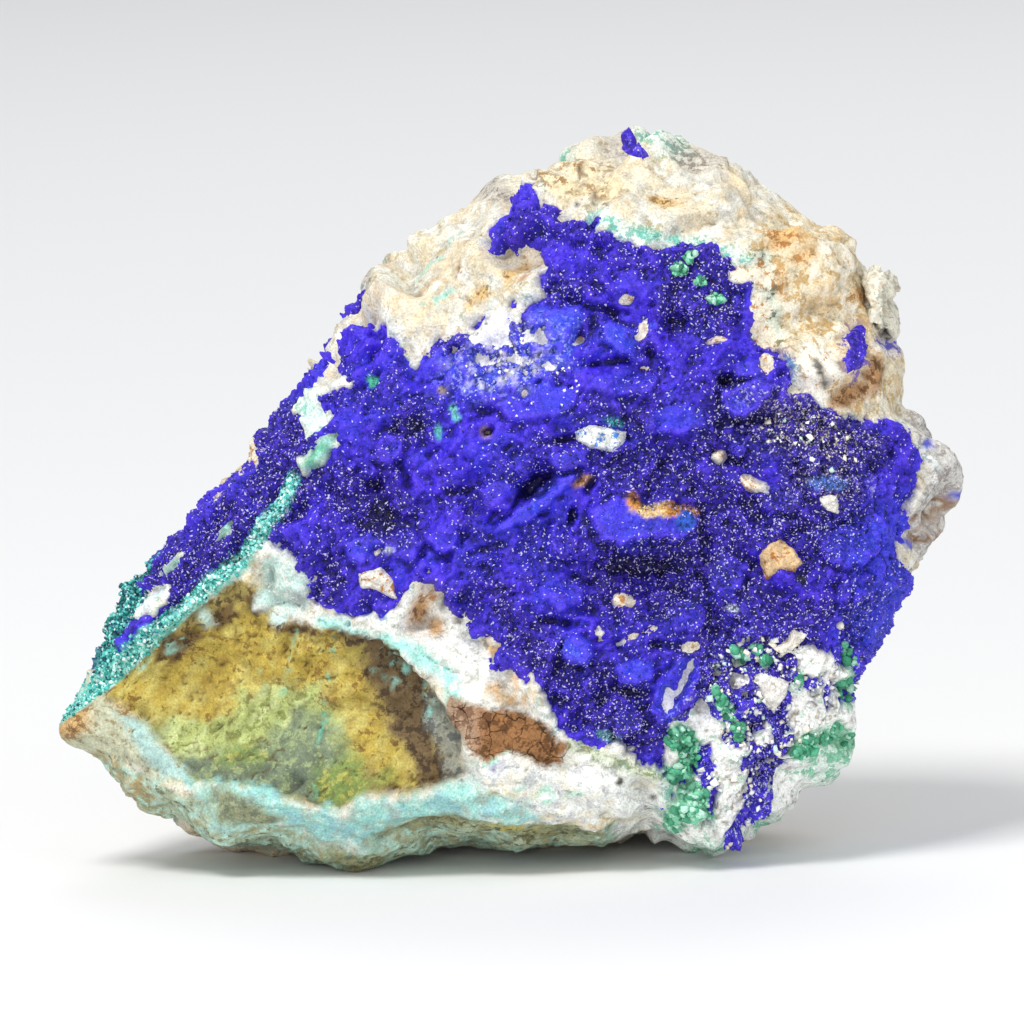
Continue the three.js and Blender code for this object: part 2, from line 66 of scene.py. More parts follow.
SILHOUETTE = [
    (-45.2, 14.8), (-44, 17), (-42.7, 19), (-42.2, 20.5), (-41.5, 23), (-40.3, 25.3), (-38.5, 28.3),
    (-37.5, 30), (-35.5, 32), (-34.8, 33), (-33.5, 34), (-32.8, 35.5), (-30.5, 38), (-28.8, 39.5),
    (-27, 40.8), (-26.4, 42), (-26.2, 43.2), (-25.3, 44.3), (-24.3, 45), (-23.8, 46.5), (-22.5, 47.5),
    (-21.3, 49), (-20.7, 50.3), (-19.5, 51.5), (-18.8, 52.5), (-18, 54), (-17, 56), (-16, 56.5),
    (-15.8, 57.7), (-15, 58.7), (-14.5, 60), (-13.8, 60.8), (-13, 61), (-12.3, 61.8), (-11.5, 62.4),
    (-10.8, 62.5), (-10, 63.8), (-9, 64.3), (-7.5, 65), (-6.5, 65.7), (-5.5, 66.2), (-4, 67.4),
    (-3.2, 67.8), (-2.8, 68.7), (-2, 69.4), (-1, 69.7), (0.5, 69.9), (2.8, 70.5), (3.5, 71), (4.7, 71.5),
    (5.3, 72.2), (6.5, 73), (8, 73.6), (10, 73.8), (11.5, 74.3), (12.5, 74.5), (14, 74.4), (15.5, 74),
    (17, 73.5), (17.8, 72.9), (20, 72.1), (21.5, 71.4), (22.8, 70.8), (23.5, 70.2), (25, 68.9), (26, 68.3),
    (26.7, 67.7), (27.7, 67.3), (27.5, 66.8), (28.5, 66.3), (29.5, 65.7), (31, 65.1), (31.7, 64.5),
    (32.5, 64.2), (33.3, 64.2), (33.8, 63.5), (34.3, 62.8), (34.7, 61.6), (35.2, 60.6), (35.4, 59.9),
    (36.6, 57.6), (37.6, 55.8), (38, 54), (38.5, 53.2), (38.9, 52.5), (39.2, 51.5), (39.2, 50),
    (39.3, 47.5), (39.5, 46.5), (40.2, 46.2), (40.8, 45.5), (41.5, 44.9), (42.3, 44.1), (43, 43),
    (43.5, 42), (44.2, 41.8), (44.8, 41), (45, 40), (45, 38.5), (44.7, 37.5), (44, 36.7), (43.6, 35.8),
    (43.2, 34.5), (42.3, 33.2), (41.7, 32.6), (41.2, 31.8), (41.4, 31.3), (40.7, 30.6), (40.4, 30),
    (39.9, 29), (39.8, 27.7), (39.2, 26.8), (38.4, 26), (38, 25.2), (37.9, 24.2), (37.5, 23.3), (36.9, 23),
    (36.5, 22), (35.8, 20.9), (35.2, 20), (34.8, 19), (34.4, 18), (34.3, 16.8), (34.3, 15), (34.7, 14.5),
    (34.3, 13), (33.7, 12), (33.7, 11), (33.3, 10.2), (32.3, 9.9), (32, 9.2), (31.3, 8.4), (30.5, 8.6),
    (29.7, 8.6), (29, 7.8), (28.2, 7), (27.7, 6), (26.8, 5.3), (25.8, 5.1), (25.3, 4.5), (25, 4), (24, 3.7),
    (23.2, 3.2), (22.9, 2.2), (22.5, 1.3), (21.5, 1.2), (19.5, 1.4), (18, 1.6), (17, 2.2), (16.5, 2.6),
    (16.2, 3), (15.5, 3.2), (14, 3.3), (12, 3.4), (10.5, 3.3), (10, 2.8), (7, 2.7), (5, 2.6), (2, 2.4),
    (0, 2.2), (-1.5, 2.3), (-4.5, 2.7), (-6, 2.5), (-8, 2.1), (-10, 1.7), (-11.5, 1.4), (-12.5, 1),
    (-14, 0.4), (-15.5, 0), (-16.3, 0.2), (-17, 0.6), (-19.5, 0.8), (-22, 0.9), (-23.5, 1), (-25, 1.7),
    (-26, 2.1), (-27.5, 2.1), (-29, 2.5), (-30.5, 3), (-31.3, 3.7), (-33, 4.4), (-34.5, 5.3), (-36.5, 6.1),
    (-38, 7.4), (-39.5, 8.8), (-40.2, 10), (-41.5, 11), (-43, 12.4), (-44.2, 13.5),
]

AZURITE = [
    (-17, 49), (-17.5, 51), (-17.3, 53), (-16.5, 54.7), (-15, 55), (-14, 55.3), (-12.5, 54.7),
    (-11.5, 53.3), (-10.7, 52.6), (-10.6, 51.5), (-9.5, 50.3), (-9, 51), (-8.3, 52), (-8.4, 53), (-8, 53.5),
    (-6.5, 53.7), (-5, 54), (-4.3, 55), (-3, 56), (-1.5, 55.5), (0, 56.7), (1.5, 57), (3.3, 57.5),
    (2.3, 59), (2.8, 60), (3.5, 60.7), (3.3, 61.5), (2.5, 62.5), (1, 62.7), (0, 62.3), (-1, 63), (-1.8, 62),
    (-2.3, 63), (-2.3, 64.5), (-1.8, 65), (-0.3, 65), (0.3, 65.5), (0.2, 66.5), (0, 67.5), (2.5, 67.5),
    (3, 66.5), (2.8, 65.5), (3.8, 66.6), (4.8, 66.3), (5, 65.2), (7, 65.3), (8.3, 65.7), (9, 65), (9, 64.3),
    (10, 63.7), (12, 62.8), (13.5, 62.2), (15, 62), (16, 62.5), (17, 63), (19, 62.5), (20, 62.5),
    (20.5, 61.8), (21.5, 61.3), (23, 60.5), (23.8, 59.5), (24, 58), (24.5, 56.5), (24.3, 55), (23.8, 53.8),
    (25, 52.2), (26.5, 52), (27.5, 51), (28, 49.7), (28, 48.7), (27.5, 48), (29, 47.7), (30.5, 47),
    (31.5, 46.4), (33, 46.1), (35, 45.9), (37, 45.8), (38.5, 46), (39.5, 45.3), (40, 44), (40.2, 43),
    (41, 41.5), (41, 40.5), (40.5, 39.5), (40.2, 38), (40, 36.5), (40.2, 35), (39.9, 33.5), (39.7, 32.5),
    (39.3, 31.3), (40.4, 30), (44, 28), (43, 24), (41, 21), (40, 14), (37, 6), (27, -3), (15.8, -3),
    (15.8, 3), (15.2, 10.5), (13.5, 11), (12.2, 11), (11.5, 12), (10, 12.8), (9, 12.3), (7.5, 12.5),
    (6, 13.5), (4.5, 14.8), (3.8, 15.8), (3.3, 17), (2.3, 18.3), (1.8, 19.3), (0.5, 19.8), (-0.3, 20.8),
    (-1.8, 21), (-1.2, 22), (-1.3, 23), (-2.5, 23.4), (-3.7, 24), (-4.5, 25.2), (-5.2, 26.2), (-6.3, 27),
    (-6.7, 28), (-8.2, 29), (-8.5, 30), (-9.3, 29.5), (-10.2, 28.5), (-10.8, 27.3), (-13, 25.5),
    (-14.5, 26), (-15.5, 25.3), (-16.3, 24.7), (-17.3, 25.8), (-18.3, 26.5), (-20, 26.6), (-20.3, 28),
    (-20.6, 29.5), (-21.2, 31), (-22.3, 32), (-23.3, 32.4), (-24.6, 33.2), (-26.4, 32), (-28.2, 30.4),
    (-32.4, 27), (-37.4, 22.8), (-41.6, 19.2), (-48, 22), (-47, 33), (-38, 44), (-28, 54), (-20, 60),
    (-15.2, 58), (-16.2, 56.5), (-17.8, 54.6), (-19, 52), (-19.8, 50), (-20.3, 48),
]

CHALK = [
    (-4.2, 53.4), (-2.9, 54.9), (-1, 55.7), (0, 55.5), (0.8, 53.1), (1.6, 52), (1.6, 50.7), (-0.2, 52),
    (-2.4, 52.5),
]

BROKEN_FACE = [
    (-42, 17.7), (-40, 20.1), (-36, 23.4), (-32, 26.2), (-28, 29.2), (-26.2, 29.6), (-25, 27.8),
    (-24, 25.4), (-22, 25), (-19, 24.5), (-16, 24), (-13, 23.3), (-11, 22.5), (-9, 20), (-7, 17.5),
    (-5.4, 14), (-5, 10), (-9, 8.5), (-12, 8), (-15, 8.3), (-17, 6.5), (-20, 6.3), (-25, 8.7), (-32.4, 9),
    (-33.7, 11.8), (-36, 14.8), (-39, 17.2),
]

GOLD = [
    (-40, 18.7), (-36.5, 22), (-32, 24.4), (-28, 27), (-25.5, 26.5), (-23.5, 24.6), (-17.5, 24),
    (-15.5, 20.6), (-14, 18.8), (-12.7, 14.3), (-10.1, 11.4), (-9.8, 8.9), (-12, 8.3), (-14.4, 11),
    (-17.1, 14.8), (-19, 18.4), (-23, 17.6), (-27.3, 15.6), (-32.4, 13.4), (-36.6, 15.6),
]

LIME = [
    (-38, 15.6), (-33, 15.8), (-29.5, 15.6), (-26.6, 18.2), (-22.5, 19), (-19.6, 18.6), (-18, 16.5),
    (-17, 13.5), (-15.4, 11), (-14.6, 7), (-32, 8.5), (-36, 13),
]

GREY_GREEN = [
    (-33.6, 12), (-30, 12.6), (-26, 12.8), (-23.6, 15), (-21, 16.4), (-19, 15.6), (-17, 12.6), (-15, 9),
    (-17.5, 7), (-20, 6.5), (-25, 8.8), (-32, 9.2),
]

DARK_BROWN = [
    (-17.5, 23.9), (-12.4, 23.6), (-9.5, 21.2), (-8.2, 18.2), (-8.5, 15.6), (-6.9, 11.4), (-5.6, 9),
    (-9.2, 8.9), (-10.1, 12.1), (-12.5, 15.9), (-14.4, 18.8), (-14.4, 21.6),
]

GREY_STREAK = [(-8.6, 19.4), (-6, 18), (-4.8, 14), (-4.4, 10.2), (-6.2, 8.9), (-7.6, 12.1), (-9, 15.6)]

MUD = [
    (-6, 18), (-4.5, 17.2), (-3, 16.6), (1, 16.2), (2.5, 15.3), (4.5, 14), (5.5, 12.8), (5, 11.2),
    (3, 10.7), (1, 12), (-0.5, 12.5), (-2.5, 11.3), (-4.5, 13.2), (-6, 15.5),
]

LEFT_PANEL = [
    (-45.5, 15), (-43, 17), (-41, 18.6), (-39.1, 17.5), (-36, 14.9), (-33.7, 11.8), (-32.4, 8.9),
    (-34, 8.4), (-38.8, 11.2), (-41.4, 11.6), (-44, 13.4),
]

BAND = [
    (-33, 9), (-28, 8.9), (-24.2, 8.6), (-22, 7.1), (-20, 6.2), (-16.8, 6.2), (-14.8, 7.8), (-11.7, 7.7),
    (-7, 8.4), (-4.1, 8.8), (-1, 8.2), (1.5, 7), (2.6, 5.3), (-3, 5.5), (-7, 5), (-11.4, 3.8), (-14.9, 2.9),
    (-19.7, 2.8), (-27.3, 4.4), (-31.5, 6.8),
]

LOWER_STRIP = [
    (-46, 13), (-41, 12.2), (-38, 10.4), (-34, 8.4), (-30, 6.6), (-25, 4.2), (-20, 2.6), (-15, 3),
    (-11, 3.6), (-5, 5), (0, 5.2), (3, 4.6), (10, 4), (11, -1), (-40, -1),
]

TAN_BLOCK = [
    (23.5, 62), (25, 66), (28, 68), (34, 65), (36, 60), (39, 54), (40, 46.5), (35, 46), (30, 47.2),
    (28, 49), (27.6, 51.6), (25, 53), (24.6, 57),
]

BOSS = [(40.6, 46.6), (47, 45), (47, 34), (41.4, 31.2), (40, 33), (40.2, 37), (41, 40.5), (40.3, 43)]

LIMB = [
    (-20, 26.6), (-16, 25), (-13, 25.6), (-10.6, 27.6), (-8.4, 29.8), (-5, 26), (-1, 21.4), (3.4, 16.6),
    (5.5, 13.6), (5.5, 11.4), (2, 14.6), (-2.6, 16.6), (-6, 18.3), (-9, 20.6), (-13, 23.6), (-19, 24.6),
]

APRON = [(-5, 11), (0, 12.5), (5, 10.6), (8, 12.6), (12, 11.4), (15.4, 10.4), (16, 3), (0, 2), (-5, 6)]

PALE_BLOCK = [
    (-25.6, 26.4), (-25.3, 30.8), (-24, 32.4), (-21.4, 31.2), (-20.4, 29), (-20.4, 26.6), (-22, 25.4),
]

EDGE_BAND = [
    (-35, 32.6), (-37.5, 30.4), (-38.8, 28.3), (-40.6, 25.3), (-42, 22.5), (-43.4, 19.4), (-41.3, 19.8),
    (-39.6, 21.8), (-38.8, 23.8), (-38, 25.6), (-37.2, 27.7), (-36.4, 30.1),
]

# The corner where azurite, malachite and bare white rock are mixed, and the larger bare places in it.
MIXED = [
    (20.5, 23.5), (24, 24.5), (29, 22), (35.5, 21.5), (35, 8), (28, 0), (15.5, -1), (15.5, 14.5), (18, 19),
]

BARE_OUTLINES = [
    [
        (19.9, 13.7), (21.6, 12.4), (23.5, 13.2), (22.4, 11.1), (22.7, 10.1), (23.7, 10.1), (24, 7.6),
        (23.2, 5.8), (22.7, 4.3), (20.6, 4.3), (19.9, 5.5), (21.1, 7.6), (21.1, 8.9), (20.1, 10.1),
        (20.6, 10.9),
    ],
    [
        (15.5, 15.6), (17, 15.2), (18.3, 17), (18.8, 17.8), (19.6, 17), (20.1, 15.5), (21.1, 15),
        (20.6, 14), (19.1, 13.2), (18.1, 13.7), (17, 14.7), (15.4, 13), (15, 4), (16, 2.6), (19, 2),
        (20.6, 3.9), (19, 4.9), (18.6, 9.4), (17, 12),
    ],
    [(14.5, 16.8), (15, 18.5), (16, 19.1), (16.3, 18), (16, 16.5), (15.3, 16)],
    [(16.4, 19.6), (17.8, 21.5), (18.2, 20.3), (16.8, 18), (16.3, 16.5), (16.2, 18)],
    [(27.9, 22.2), (29.6, 22.6), (31.2, 21.4), (30.3, 20.1), (29, 20.5), (28.3, 21.2)],
    [
        (27.4, 18.8), (28.5, 19.1), (30.1, 18), (31.6, 18.8), (31.1, 16.8), (31.8, 16), (35, 16.8), (36, 8),
        (31, 5), (26, 2), (24.6, 3.6), (26.7, 7.8), (28.2, 10.4), (27.6, 12), (28.6, 13.6), (27.6, 15.6),
    ],
    [(4.6, 11), (9.4, 11.4), (14, 10), (15.4, 9), (15, 0), (-4, 0), (-4, 9)],
    [
        (14, 3), (16, 3.4), (18.6, 4.8), (20.6, 4), (21.2, 3), (22.6, 3.8), (25.4, 5), (28, 3), (24, -4),
        (14, -4),
    ],
]

# Smaller ones: x, z, half width, half height and turn in degrees.
BARE_SPOTS = [
    (30.3, 21, 1.7, 0.9, 15), (32.8, 19.6, 1.2, 0.8, 0), (22.5, 19.2, 0.9, 0.9, 0),
    (24.8, 19.4, 0.7, 0.6, 0), (22.6, 21.2, 0.8, 0.6, 0), (25, 13.6, 0.8, 0.6, 0),
    (12.7, 24.1, 1.2, 0.4, 25), (8.6, 23.4, 0.3, 0.6, 0), (17.8, 22.7, 0.7, 0.5, 0),
    (23.4, 23.6, 0.4, 0.4, 0), (11.3, 27.3, 1.2, 0.6, -20), (1.2, 47.7, 0.35, 0.5, 0),
    (3.4, 50.6, 0.8, 0.4, -12), (6.7, 53.2, 0.6, 0.9, -25), (-2.6, 44.1, 0.5, 0.5, 0),
    (-8.4, 28.6, 0.9, 1, 0), (11.3, 57.1, 0.4, 0.3, 0), (12.9, 53.9, 0.45, 0.9, -30),
    (13, 50.3, 0.5, 0.3, 0), (25.2, 51, 0.6, 1, 10), (24, 38.7, 1, 0.4, -20), (22.6, 59.5, 0.8, 0.5, 0),
    (20.6, 53.1, 0.7, 0.2, 10), (-26.4, 42.4, 0.6, 1.2, -20), (24.7, 59.4, 0.7, 1.2, 15),
    (24.4, 56, 0.7, 1.2, 0), (25.4, 53.6, 0.7, 0.9, 0), (-29, 38.9, 1.6, 0.35, 45),
    (2.3, 62.2, 0.7, 0.5, 0), (20.4, 41.6, 0.25, 0.25, 0), (-13.4, 31.9, 0.3, 0.3, 0),
    (33.4, 24.6, 0.3, 0.3, 0),
]

# The crust beside the chalk, dusted with white: x, z, half width, half height and turn.
DUSTY = (-0.4, 51.2, 6, 3, 15)

# Small patches of azurite beside the crust: x, z, half width, half height and turn.
STRAYS = [
    (20.1, 8.3, 0.6, 0.4, 20), (23, 5.4, 0.4, 0.5, 0), (21.5, 4.3, 0.5, 0.22, 0), (22.6, 3, 0.9, 0.7, 10),
    (24.2, 4.3, 1, 0.4, 15), (16.5, 2.9, 0.35, 0.3, 0), (17, 8.9, 0.9, 0.6, 0), (15.9, 7.8, 0.4, 0.6, 0),
    (19.4, 11.4, 0.8, 1.6, 10), (24.6, 11.6, 1.6, 0.7, 20), (26, 9.6, 0.9, 0.5, -30),
    (21, 12.6, 0.5, 0.4, 0), (2.2, 68.6, 0.35, 0.5, 20), (-3.7, 54.9, 0.9, 0.5, 25),
    (14, 64.7, 0.3, 0.3, 0), (0.2, 54, 0.5, 3, 23), (27.4, 16.8, 0.5, 0.6, 0), (30, 17.4, 0.6, 0.35, 20),
    (32.4, 18.6, 0.5, 0.6, 0),
]

# Growths of pale and green minerals over the crust's left slope.
LEFT_PATCHES = [
    [
        (-22.2, 46.6), (-20.7, 48.6), (-20.1, 48.8), (-19.6, 47.4), (-18.7, 45.6), (-19.3, 44.6),
        (-20.4, 43.4), (-21, 45),
    ],
    [(-20.1, 42.2), (-18.8, 43.9), (-17.5, 44.4), (-17.6, 43), (-18.3, 41.9), (-19.3, 40.8), (-20.8, 40.2)],
    [(-29.8, 34.4), (-28.6, 35.8), (-27.4, 36), (-27.6, 34.8), (-28.8, 33.3), (-29.6, 33)],
    [(-35.2, 29.9), (-34, 31.2), (-32.7, 31.6), (-32.8, 30.6), (-34, 29.8)],
    [
        (-38, 26), (-37.6, 27.6), (-36.4, 28), (-35.4, 29), (-34.4, 28.8), (-34.8, 27.6), (-35.8, 27),
        (-36, 26.2), (-37.2, 25.6),
    ],
]

# Broken slabs of azurite: outline, how far the upper and the lower edge stand out, and how much lighter.
SLABS = [
    (
        [
            (1.6, 54.7), (2.7, 56), (6.7, 56.4), (7, 55.5), (6.2, 53.6), (6.5, 52.5), (5.4, 50.7),
            (3.5, 49.9), (2.2, 52),
        ],
        0.9, 0.5, 0.85,
    ),
    (
        [(8.9, 54.7), (10.5, 55.1), (12.1, 54.1), (12.6, 53.1), (12.1, 51.2), (10.2, 52), (8.9, 53.1)],
        0.7, 1.6, 0.8,
    ),
    ([(12.4, 54.9), (14.5, 55.2), (14.8, 54.4), (13.4, 53.7)], 0.6, 1, 0.7),
    ([(20.9, 48.2), (24.4, 49.3), (25.8, 48.5), (24.9, 46.6), (23.1, 45.3), (20.9, 46.2)], 1.2, 2.2, 0.4),
    ([(22, 50.9), (24.7, 51.2), (24.7, 49.8), (22.3, 49.3)], 0.6, 1.4, 0.35),
    ([(3.9, 42.1), (6.2, 42.6), (7.5, 42.3), (7.3, 40.7), (4.6, 39.9), (3.8, 41)], 0.6, 1.9, 0.25),
    (
        [(4.3, 39.7), (6.5, 39.9), (5.9, 38.6), (3.5, 36.7), (1.6, 35.1), (-2.1, 33.9), (0.8, 36.7)],
        1.5, 0.8, 0.6,
    ),
    (
        [
            (7.6, 36.3), (9.9, 37.5), (11.6, 37.5), (13.2, 36.4), (16.4, 36.4), (18.2, 36), (18.6, 34.4),
            (16.6, 33.2), (13.6, 33.6), (10.6, 32.8), (8.4, 33.6),
        ],
        1.4, 3, 0.3,
    ),
    ([(21.2, 42.6), (22.5, 43.3), (23.3, 42.3), (22.5, 41.2), (21.5, 41.5)], 0.4, 1.4, 0.2),
    (
        [
            (13.6, 16.6), (14.6, 18.8), (16.4, 21.4), (18.4, 21.8), (18.6, 20), (17, 17.4), (16.4, 15.4),
            (14.4, 15.2),
        ],
        1.6, 1.2, 0.6,
    ),
    ([(4.8, 22.4), (5.6, 23.5), (7.4, 23.5), (8, 22.2), (7, 20.8), (5.4, 20.9)], 0.8, 1.6, 0.75),
    ([(10.4, 20.6), (12, 21.6), (14, 21), (13.9, 19.6), (12.2, 18.9), (10.8, 19.2)], 0.8, 1.7, 0.6),
    ([(-14, 41.4), (-12.6, 44), (-10.6, 43.8), (-10.8, 41.8), (-12.4, 40.6)], 1, 1.5, 0.1),
    ([(-8.6, 33.6), (-7, 34.8), (-5.2, 34.2), (-5.6, 32.4), (-7.6, 31.8)], 0.5, 1.2, 0.05),
    ([(-16.4, 33.2), (-14, 34.2), (-12.6, 33), (-13, 31.4), (-15, 30.8), (-16.4, 31.6)], 0.7, 1.6, 0.35),
    ([(-11.8, 33.4), (-9.8, 34.4), (-8.8, 33), (-9.8, 31.2), (-11.6, 31.6)], 0.6, 1.5, 0.15),
    ([(-3.4, 38.4), (-1, 39.4), (0.8, 38.2), (-0.4, 36.4), (-2.6, 36.2)], 0.5, 1.3, 0.1),
    ([(12.6, 45.6), (16, 47), (19, 46.6), (19.4, 44.8), (16.6, 43.8), (13.4, 44)], 0.5, 1.1, 0.25),
    ([(-1.4, 46.8), (2.6, 48.8), (6.4, 48.4), (6.6, 46.6), (3, 45.2), (-0.6, 45.2)], 0.4, 0.9, 0.3),
    ([(7.6, 49.6), (11, 50.4), (14.4, 49.6), (13.8, 47.8), (10, 47.6), (7.8, 48.2)], 0.5, 1.3, 0.25),
    ([(24, 38), (26.4, 39.4), (29, 38.2), (28.6, 36.2), (25.6, 35.8)], 0.4, 1, 0.1),
    ([(30.4, 33.4), (33, 35), (35.6, 33.6), (35.6, 31), (33, 30.4), (31, 31.2)], 0.4, 1.1, 0.25),
    ([(18.6, 30.6), (20.8, 32), (23.4, 31), (23, 28.6), (20.4, 28)], 0.5, 1.3, 0.12),
    ([(2.6, 28.6), (4.8, 30.2), (7.2, 29.2), (7, 26.8), (4.4, 26)], 0.5, 1.4, 0.15),
    ([(15.2, 26.4), (17.6, 27.8), (19.4, 26.4), (18.6, 24.4), (16, 24.2)], 0.5, 1.2, 0.1),
    ([(9.6, 15.4), (11, 16.8), (13, 16.2), (12.8, 14.4), (10.6, 13.8)], 0.5, 1.3, 0.15),
    ([(9, 58.6), (11.6, 60), (13.8, 59), (13.4, 57.2), (10.4, 56.8)], 0.4, 1, 0.1),
]

# Hollows in the crust: x, z, half width, half height, turn and depth.
HOLLOWS = [
    (-13, 35.6, 1.5, 1.9, 0, 1.4), (-9.6, 44.6, 0.9, 1.1, 0, 1), (2.4, 38.6, 2.4, 1, 32, 1.7),
    (5.9, 35.6, 0.4, 0.9, -10, 1.4), (12.6, 31, 4, 1.4, -4, 1.4), (21.2, 49.2, 0.8, 0.6, 0, 1.3),
    (5, 43.2, 1.6, 0.4, 4, 1), (12, 18.3, 1.6, 0.6, 0, 1), (-13.6, 38.8, 0.9, 0.8, 0, 0.8),
    (24.2, 45.2, 2.2, 0.5, 8, 0.9), (9.6, 50.9, 2.2, 0.4, 8, 0.8), (7.8, 39, 0.5, 1.2, -30, 1),
    (23.6, 14.8, 0.5, 1, 0, 0.7), (-5.6, 38.2, 1.6, 0.4, 10, 0.7), (7.9, 54.2, 0.5, 1.5, -10, 1),
    (9.2, 56.2, 2.2, 0.5, -8, 0.8), (13.6, 52, 0.5, 1.4, 10, 0.8), (-2, 32.6, 2, 0.5, 20, 0.8),
    (20.6, 44.6, 0.5, 1.6, 10, 0.7), (5, 25.2, 2.2, 0.5, -6, 0.8), (15.4, 22.8, 2.6, 0.5, -8, 0.7),
    (-10.6, 39.4, 0.6, 1.8, 20, 0.7), (16.6, 31.6, 2.4, 0.7, 10, 0.9), (29.6, 35, 1.8, 0.4, -20, 0.6),
]

# Where the azurite is dark and granular, with bright glints: x, z, half width, half height and turn.
GRANULAR = [
    (-30, 31, 8, 5, 40), (-23, 41, 4, 6, 0), (-12.6, 35.8, 3, 3.4, 0), (-10, 45, 2.4, 2.4, 0),
    (1, 24.6, 6, 2.6, -50), (10, 16.6, 8, 3.4, -35), (14.4, 29.4, 9, 4.6, 5), (24, 23.6, 8, 6, 10),
    (31, 43, 6, 4, -10), (22, 44.6, 4, 6, 0), (18.4, 57.6, 4.6, 4.6, -30), (7, 58.6, 3, 1.6, 20),
    (29.4, 35, 6, 6, 0), (21, 36, 5, 5, 0), (9.6, 45, 3, 1.6, 0), (-16.4, 38, 2.6, 3, 0),
    (35, 25, 2, 4, -20), (-17.6, 29, 2.2, 2.6, 0), (26, 13, 4, 5, 0), (13.6, 40.6, 5, 3, 0),
]

# Small coloured growths on the crust: x, z, half width, half height, turn and colour.
CRUST_SPOTS = [
    (-13.8, 49.2, 0.6, 0.6, 0, (70, 170, 140)), (10.2, 45, 1.2, 0.5, -15, (60, 160, 170)),
    (-2.6, 44.1, 0.7, 0.7, 0, (150, 120, 160)), (12.2, 37, 1.1, 0.55, -45, (206, 140, 66)),
    (14.2, 36.3, 1.8, 0.6, 5, (240, 204, 140)), (16.8, 36.2, 1.7, 0.6, -8, (206, 140, 62)),
    (7, 39.2, 0.9, 0.4, 30, (216, 160, 96)), (25.6, 31, 0.5, 1.2, -10, (200, 150, 100)),
    (-5.6, 45.6, 0.4, 0.4, 0, (110, 200, 200)), (-7.4, 44.4, 0.35, 0.8, 0, (90, 190, 180)),
    (-5.9, 46.4, 0.4, 0.35, 0, (120, 210, 190)), (-6.9, 48.2, 0.4, 0.4, 0, (170, 150, 140)),
    (31.2, 39, 1.8, 0.8, 0, (90, 130, 220)), (17.2, 35.2, 0.9, 0.9, 0, (40, 90, 200)),
    (22, 26.6, 0.8, 0.4, 0, (200, 210, 230)), (9.6, 13.8, 0.9, 0.4, -20, (120, 190, 190)),
    (-12.2, 32.2, 0.7, 0.5, 0, (200, 205, 225)), (28.6, 29.6, 0.6, 0.5, 0, (60, 60, 90)),
]

SEAM = [
    (-22, 39.6), (-22.2, 38), (-22.9, 36.8), (-24, 35.2), (-25.2, 33.8), (-26.4, 32.2), (-28, 30.6),
    (-30, 28.8), (-32.4, 26.8), (-34.9, 24.8), (-37.4, 22.6), (-39.7, 20.6), (-41.8, 18.8), (-43.4, 17),
    (-44.6, 15.6),
]

# Chips of rock caught in the crust: outline, thickness, colour, stain.
CHIPS = {
    "rock_chip_triangle": (
        [(24.4, 19.1), (25.7, 19.9), (27.4, 19.2), (27.2, 18), (26, 16.2), (25.2, 17)],
        1.1, (240, 236, 228), (214, 208, 196),
    ),
    "rock_chip_pair": (
        [(25.8, 22.6), (27.2, 23.5), (27.8, 24.5), (29.2, 24), (29, 23.6), (27.8, 22.6), (26.7, 22.2)],
        0.9, (242, 236, 222), (190, 170, 140),
    ),
    "rock_chip_right": (
        [(30.3, 37.5), (31, 37.7), (32.2, 37.9), (32.4, 35.9), (31.1, 36.4)],
        0.9, (240, 236, 226), (206, 206, 206),
    ),
    "rock_chip_rusty": (
        [
            (24.4, 31.8), (25.6, 33), (26.5, 33.4), (28, 32.3), (28.8, 31), (28, 30.2), (26.5, 30.4),
            (25.2, 29.4),
        ],
        1, (222, 190, 146), (170, 110, 56),
    ),
    "rock_chip_middle": (
        [
            (6.2, 44), (7.8, 44.7), (8.9, 44.5), (11.3, 44), (11, 42.9), (9.9, 42.1), (8.1, 42.3),
            (6.5, 43.2),
        ],
        1, (232, 234, 228), (80, 130, 205),
    ),
    "rock_chip_left": (
        [(-15.2, 30), (-13, 30.6), (-11.8, 29.4), (-11.4, 27.4), (-13.4, 28.4), (-15, 28.6)],
        0.9, (240, 234, 222), (190, 130, 66),
    ),
}

AZURITE_PATCHES = {
    "azurite_crown_patch": [
        (10.9, 73.6), (11, 72.4), (11.6, 71.6), (12.8, 71.2), (13.5, 71.6), (12.9, 72.4), (12.4, 73.4),
        (11.8, 74.4),
    ],
    "azurite_shoulder_patch": [
        (33, 53.4), (34.6, 55), (35.6, 54.6), (35.4, 52.6), (34.6, 50.4), (33.2, 49.8), (32.8, 51.4),
        (33.6, 52.4),
    ],
}

